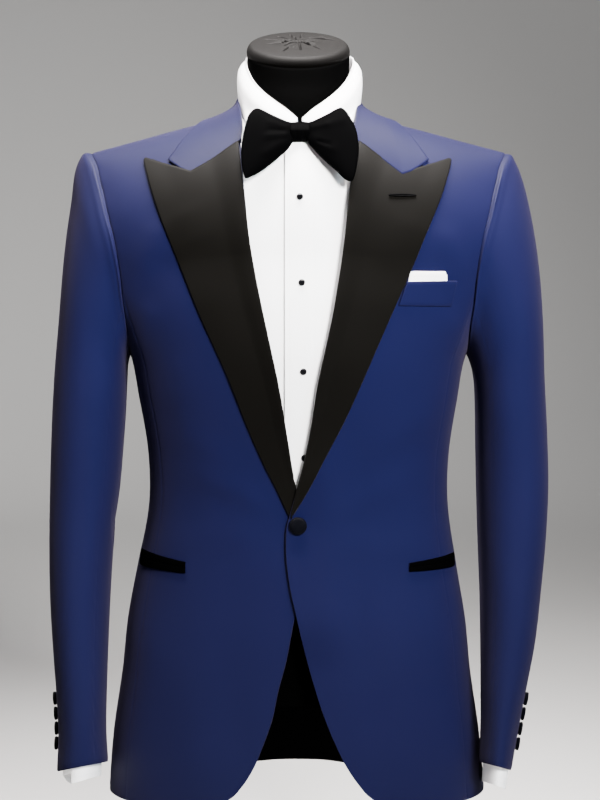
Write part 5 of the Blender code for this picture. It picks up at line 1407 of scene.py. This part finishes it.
def make_shirt_fronts(form):
    """The shirt's fronts: the body surface moved in, from the placket's far edge round to the side seam."""
    body = np.linspace(SHIRT_BOTTOM, CHEST_TOP - 4, 90)
    rows = np.concatenate([body, arch_height(np.linspace(*SHOULDER_ROWS, 40))])
    heights = rows[:, None]
    for label, side in SIDES:
        neck = neck_hole_x(rows, -1, SHIRT_NECK_HALF)
        inner = angle_at(np.where(neck > 0, neck, -PLACKET_HALF), rows, -1)
        at_armhole = angle_at(armhole_x(rows) - SHIRT_ARMHOLE_SHY, rows, -1)
        outer = np.where(rows <= ARMHOLE_BOTTOM, 89.8, at_armhole)
        degrees = across_panel(inner, outer, 90, 0.3)
        x = ring_point(heights, degrees)[..., 0]
        out = unevenness(x * side + 20, heights, 0.35) * ease(np.abs(x), 14, 40) - shirt_depth(heights)
        if side > 0:
            out = out + PLACKET_LIFT * (1 - ease(x, *PLACKET_FADE))
            out = out + PLACKET_STEP * (1 - ease(x, *PLACKET_EDGE))
        grid = sided(body_cloth(heights, degrees, out), side)
        cloth(f"shirt_front_{label}", grid, SHIRT_WALL, COTTON, [form])


def make_shirt_collar(form):
    degrees = np.concatenate([np.linspace(2.6, 30, 26), np.linspace(32, 180, 66)])
    slant = SHIRT_POINT_LEAD * (1 - ease(degrees, 5, 80))
    whole = closed_by_mirror(shirt_collar_points(degrees, slant))
    grid = refine(whole, len(whole), 40) + np.array([SHIRT_COLLAR_SHIFT, 0.0, 0.0])
    cloth("shirt_collar", grid, FOLDED_WALL, COTTON, [form], SHIRT_COLLAR_MIDDLE, "folded")


def make_cuffs(jacket):
    """Each shirt cuff: a band inside the sleeve's end, led out of it, lapped over itself at the angle opens.

    The tube is mixed into its end ring over the last rows, and the inner end of the lap is raised by tail.
    """
    for label, sleeve, side, end, opens, tail in (
        ("left", SLEEVE_LEFT, 1, CUFF_END_LEFT, *CUFF_LAP_LEFT),
        ("right", SLEEVE_RIGHT, -1, CUFF_END_RIGHT, *CUFF_LAP_RIGHT),
    ):
        rows = np.linspace(CUFF_FROM_ROW, SLEEVE_ROWS, 40)[:, None]
        at, degrees = spread(rows, np.linspace(opens, opens + CUFF_ROUND, 120)[None])
        under, raised = ((opens + first, opens + last) for first, last in CUFF_LAP_ANGLES)
        lap = CUFF_LAP_DEEP * ease(degrees, *under)[..., None]
        tube = sleeve_grid(sleeve, at, degrees)
        tube = tube - normals(tube, sleeve_middle(sleeve, at)) * (CUFF_INSET + lap)
        ring = table(" ".join(SLEEVE_LEFT), [end] * (SLEEVE_ROWS + 1))
        target = sleeve_ring(ring, float(SLEEVE_ROWS), degrees)
        target = target - unit(target - target.mean(axis=1, keepdims=True)) * lap
        target[..., 2] += tail * ease(degrees, *raised)
        grid = sided(mix(tube, target, ease(at, CUFF_ENDS_FROM, SLEEVE_ROWS)[..., None]), side)
        middle = grid.mean(axis=1, keepdims=True)
        cloth(f"shirt_cuff_{label}", grid, FOLDED_WALL, COTTON, jacket, middle, "folded")


# ---- bow tie, buttons, studs ----


def make_wings():
    """Two wings of the bow: soft cushions between an upper and a lower outline.

    Round each section the height goes by the sine and the thickness by the cosine, both to WING_POWER,
    less the pleats on the front, and the wing bends forward as it goes out.
    """
    centre = np.array(TIE_CENTRE)
    turn = full_turn(96)[None, :]
    tall, thick = signed_power(np.sin(turn), WING_POWER), signed_power(np.cos(turn), WING_POWER)
    front = np.clip(-np.cos(turn), 0, 1) ** 0.5
    for label, outline, pleats, side in (
        ("left", WING_LEFT, WING_PLEATS_LEFT, 1), ("right", WING_RIGHT, WING_PLEATS_RIGHT, -1),
    ):
        reach = outline["along"]
        along = mix(reach[0], reach[-1], 1 - (1 - shares(64, 0.8)) ** 1.5)[:, None]
        row = row_at(outline, along, reach)
        z = mix(row["low"], row["top"], (1 + tall) / 2)
        y = thick * row["thick"] - row["forward"]
        y = y - front * ridges(along + 0 * z, z, pleats)
        points = centre + xyz(side * along, y + TIE_LEAN * z, z)
        solid(f"tie_wing_{label}_dressed", points, TIE_SATIN, [f"tie_wing_{label}"])


def make_knot():
    """The knot: a rounded block from KNOT_HALF and KNOT_ROUNDNESS, slimmer at its ends, creased twice."""
    half_x, half_y, half_z = KNOT_HALF
    turn = full_turn(96)[None, :]
    across = np.linspace(-1, 1, 44)[:, None]
    size = KNOT_END + (1 - KNOT_END) * (1 - np.abs(across) ** 5) ** (1 / KNOT_ROUNDNESS)
    z = signed_power(np.sin(turn), 2 / KNOT_ROUNDNESS) * half_z * size
    y = signed_power(np.cos(turn), 2 / KNOT_ROUNDNESS) * half_y * size
    crease = sum(rise * bell(across - at, KNOT_CREASE_REACH) for rise, at in KNOT_CREASES)
    y = y + np.clip(-np.cos(turn), 0, 1) * crease + KNOT_LEAN * np.clip(z - 0.15 * half_z, 0, None)
    points = np.array(TIE_CENTRE) + xyz(across * half_x, y, z)
    solid("tie_knot_dressed", points, TIE_SATIN, ["tie_knot"])


def seat_on(x, height, out):
    """A place on the front and the way out from it."""
    tape = tape_of(height)
    return cloth_at(x, tape, out), cloth_at(x, tape, 1.0) - cloth_at(x, tape, 0.0)


def make_front_button():
    x, height = BUTTON_AT
    seat = seat_on(x, height, float(lap_lift(x, height)) + BUTTON_SHANK + float(hang_in_front(x, height)))
    profile = scaled(dome(0.86, 0.62, 88, 14) + BUTTON_RIM, BUTTON_RADIUS, BUTTON_HEIGHT)
    turned("front_button_dressed", profile, 56, BUTTON, *seat, ["front_button"])


def make_studs():
    """Studs down the placket, each a domed bead in a rim."""
    shapes = {"bead": dome(0.84, 0.45, 84, 12) + STUD_BACK, "rim": STUD_RIM}
    for number, (x, height) in enumerate(STUDS, 1):
        seat = seat_on(x, height, -float(shirt_depth(height)) + PLACKET_LIFT + STUD_OUT)
        for part, shape in shapes.items():
            stands_for = [f"stud_{number}"] if part == "bead" else ()
            profile = scaled(shape, STUD_RADIUS, STUD_HEIGHT)
            turned(f"stud_{number}_{part}", profile, 40, STUD, *seat, stands_for)


# ---- form and stand ----


def form_ring(height, degrees, inset):
    """A ring of the form: the body surface moved in, and rounded off short of the armholes.

    The radius is blended with the armhole's limit: both to the power -8, added, and taken back.
    """
    sine, cosine = sine_cosine(degrees)
    deep = depth(height, np.where(cosine > 0, -1, 1))
    inner_depth = np.maximum(deep - inset * deep / np.maximum(deep, 60.0), FORM_RIDGE_HALF)
    radius = ring_radius(sine, cosine, half_width(height) - inset, inner_depth)
    widest = armhole_x(np.maximum(height, ARMHOLE_BOTTOM)) - FORM_SIDE_CLEARANCE
    limit = widest / np.maximum(np.abs(sine), 1e-6)
    radius = (radius**-8.0 + limit**-8.0) ** (-1 / 8.0)
    lowered = FORM_TOP_CLEARANCE * ease(height, CHEST_TOP, SHOULDER_TOP)
    z = height - drop(height) * np.abs(radius * sine) - lowered
    return xyz(radius * sine, -radius * cosine, z)


def make_form():
    degrees = (180 + np.arange(120) * 3.0)[None, :]
    low = np.linspace(FORM_BOTTOM, CHEST_TOP, 60)
    height = np.concatenate([[FORM_BOTTOM] * 3, low, arch_height(np.linspace(4, 88.5, 30))])[:, None]
    inset = read(FORM_RINGS, height, "inset")
    inset = np.where(height > CHEST_TOP, mix(inset, FORM_SHOULDER_INSET, ease(height, CHEST_TOP, 600)), inset)
    rings = form_ring(height, degrees, inset)
    middle = np.array([0.0, 0.0, FORM_BOTTOM])
    for row, share in enumerate(FORM_RIM):
        rings[row] = middle + (rings[row] - middle) * np.array([share, share, 1.0])
    rings[2, :, 2] += 1.2
    rings[3, :, 2] += 4.0
    return solid("form_torso_dressed", rings, JERSEY, ["form_torso"])


def make_neck():
    """The form's neck, which the torso's solid holds: ellipses from NECK_RINGS, tilted as they rise."""
    key = NECK_RINGS["height"]
    row = row_at(NECK_RINGS, np.linspace(key[0], key[-1], 40)[:, None], key)
    sine, cosine = sine_cosine((180 + np.arange(120) * 3.0)[None, :])
    y = row["centre_y"] - row["half_y"] * cosine
    z = row["height"] + (y - row["centre_y"]) * np.tan(np.radians(row["tilt"]))
    solid("form_neck_dressed", xyz(row["half_x"] * sine, y, z), JERSEY)


def make_cap():
    """The neck's cloth cap: a low dome rolled over at its rim, drawn into uneven gathers near its middle.

    The dome falls by the square of its reach, the rim is a quarter circle and the skirt goes straight down.
    Creases are ridges on the flat part, and the gathers a sine of the angle round their middle.
    """
    sine, cosine = sine_cosine((180 + np.arange(240) * 1.5)[None, :])
    flat = np.concatenate([np.linspace(0.008, 0.6, 70), np.linspace(0.606, CAP_FLAT, 30)])[:, None]
    rim = np.radians(np.linspace(5, 90, 20))[:, None]
    skirt = np.linspace(0, 1, 8)[1:, None]
    reach = np.concatenate([flat, CAP_FLAT + (1 - CAP_FLAT) * np.sin(rim), 1.0 - 0.012 * skirt])
    start = CAP_THICK * (1 - CAP_FALL * CAP_FLAT**2)
    roll, hang_down = CAP_EDGE
    top = CAP_THICK * (1 - CAP_FALL * flat**2)
    tall = np.concatenate([top, start - roll * (1 - np.cos(rim)), start - roll - hang_down * skirt])
    x, along = reach * CAP_HALF[0] * sine, -reach * CAP_HALF[1] * cosine
    off_x, off_along = x - CAP_GATHER_AT[0], along - CAP_GATHER_AT[1]
    from_gather = np.hypot(off_x, off_along)
    waves = np.sin(np.arctan2(off_along, off_x) * GATHER_COUNT + 0.6)
    gathers = GATHER_RISE * waves * bell(from_gather - 13, 9)
    creases = ridges(x, along, {**CAP_CREASES, "half": CREASE_WIDTH * CAP_CREASES["half"]})
    creases = np.where(creases < 0, CREASE_DEEPER, CREASE_HIGHER) * creases
    dimple = -DIMPLE_DEEP * bell(from_gather, DIMPLE_REACH)
    up = tall + (creases + gathers + dimple) * (1 - ease(reach, 0.84, 0.95))
    sine, cosine = sine_cosine(CAP_TILT)
    points = np.array(CAP_CENTRE) + xyz(x, along * cosine - up * sine, along * sine + up * cosine)
    solid("neck_cap_dressed", points, CAP, ["neck_cap"])


def make_stand():
    low = -HEM_ABOVE_BASE
    bottom, top = low + BASE_THICK + STAND_GAP, FORM_BOTTOM - STAND_GAP
    foot = [(POST_RADIUS * wide, bottom + up) for wide, up in POST_FOOT]
    profile = [(OFF_AXIS, top), (POST_RADIUS, top), *foot, (OFF_AXIS, bottom)]
    for label, side in SIDES:
        name = f"stand_post_{label}"
        turned(name + "_dressed", profile, 48, STEEL, (POST_X * side, POST_Y, 0), (0, 0, 1), [name])
    edge, face = BASE_ROUND, low + BASE_THICK
    rim = [(BASE_RADIUS - edge + edge * math.sin(a), face - edge + edge * math.cos(a))
           for a in np.radians(np.linspace(0, 90, 7))]
    profile = [(OFF_AXIS, face), (60, face), (120, face), *rim]
    profile += [(BASE_RADIUS, low + 1.0), (BASE_RADIUS - 1.0, low), (OFF_AXIS, low)]
    turned("stand_base_dressed", profile, 120, STEEL, (0, 0, 0), (0, 0, 1), ["stand_base"])


def dress_hidden():
    """The hidden shirt pieces keep their solids, in the shirt's cloth."""
    for name in ("shirt_back", "shirt_sleeve_left", "shirt_sleeve_right"):
        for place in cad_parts[name].material_slots:
            place.material = COTTON


# ---- studio ----


def make_floor():
    """A pale floor that bends up into a wall far behind, narrower there."""
    bend = np.radians(np.linspace(0, 90, 24))
    start, radius = SWEEP_AT - SWEEP_RADIUS, SWEEP_RADIUS
    flat = np.linspace(-FLOOR_NEAR, start - 0.3, 12)
    y = np.concatenate([flat, start + radius * np.sin(bend), [SWEEP_AT]])
    z = np.concatenate([np.zeros(12), radius - radius * np.cos(bend), [WALL_TOP]])
    half = mix(*FLOOR_HALF, ease(y, 0.5, 5.5))
    points = np.concatenate([xyz(side * half, y, z) for side in (-1, 1)])
    number = np.arange(len(y) - 1)
    faces = np.stack([number, number + len(y), number + len(y) + 1, number + 1], axis=1)
    mesh = bpy.data.meshes.new("floor")
    mesh.from_pydata(points.tolist(), [], faces.tolist())
    mesh.polygons.foreach_set("use_smooth", np.ones(len(faces), bool))
    pale = bpy.data.materials.new("pale_floor")
    pale.use_nodes = True
    shader = pale.node_tree.nodes["Principled BSDF"]
    shader.inputs["Base Color"].default_value = (0.60, 0.59, 0.58, 1)
    shader.inputs["Roughness"].default_value = 0.9
    mesh.materials.append(pale)
    floor = linked("floor", mesh)
    floor.visible_glossy = False


def make_sky():
    """A dim sky, brighter overhead, and an even grey behind everything."""
    world = bpy.data.worlds.new("studio")
    world.use_nodes = True
    tree = world.node_tree
    way = add(tree, "ShaderNodeSeparateXYZ", {0: add(tree, "ShaderNodeTexCoord").outputs["Generated"]})
    up = add(tree, "ShaderNodeMapRange", {"Value": way.outputs[2], "From Min": 0.0, "From Max": 0.9,
                                          "To Min": SKY_AT_FLOOR, "To Max": SKY_OVERHEAD}, clamp=True)
    seen = add(tree, "ShaderNodeLightPath").outputs["Is Camera Ray"]
    bright = add(tree, "ShaderNodeMapRange", {"Value": seen, "To Min": 0.0, "To Max": SKY_SEEN})
    sky = tree.nodes["Background"]
    sky.inputs[0].default_value = (0.97, 0.98, 1.0, 1)
    tree.links.new(sums(tree, "MAXIMUM", up.outputs[0], bright.outputs[0]), sky.inputs[1])
    bpy.context.scene.world = world


def make_lamps():
    for name, place, aim, size, power, colour, spread_degrees in LAMPS:
        lamp = bpy.data.lights.new(name, "AREA")
        lamp.shape = "RECTANGLE"
        lamp.size, lamp.size_y = size
        lamp.energy, lamp.color, lamp.spread = power, colour, math.radians(spread_degrees)
        made = linked(name, lamp)
        made.visible_glossy = name == "key_above"
        way = np.array(aim) - np.array(place)
        made.location = place
        down = math.atan2(math.hypot(*way[:2]), -way[2])
        made.rotation_euler = (down, 0, math.atan2(way[0], -way[1]) + math.pi)


def make_camera():
    """The camera, PIXELS of MM_PER_PIXEL high at the object, CAMERA_HEIGHT above the hem."""
    camera = linked("camera", bpy.data.cameras.new("camera"))
    bpy.context.scene.camera = camera
    camera.data.sensor_width = SENSOR
    camera.data.lens = SENSOR / (PIXELS * MM_PER_PIXEL) * CAMERA_AWAY * CAMERA_CLOSER
    camera.data.shift_x, camera.data.shift_y = CAMERA_SHIFT
    below = (LOOK_BELOW + CAMERA_SHIFT[1] * PIXELS) * MM_PER_PIXEL / CAMERA_AWAY / CAMERA_CLOSER
    camera.location = (0.0, -CAMERA_AWAY * MM, (HEM_ABOVE_BASE + CAMERA_HEIGHT) * MM)
    camera.rotation_euler = (math.pi / 2 - math.atan(below), 0, 0)


form = make_form()
make_neck()
make_cap()
make_stand()
panels = make_body(form)
make_lining(panels[2:])
make_lapels(panels[:2])
make_buttonhole()
make_collar(panels)
make_pockets(*panels[:2])
make_sleeves(panels)
make_shirt_fronts(form)
make_shirt_collar(form)
make_cuffs(panels)
make_wings()
make_knot()
make_front_button()
make_studs()
dress_hidden()
make_floor()
make_sky()
make_lamps()
make_camera()
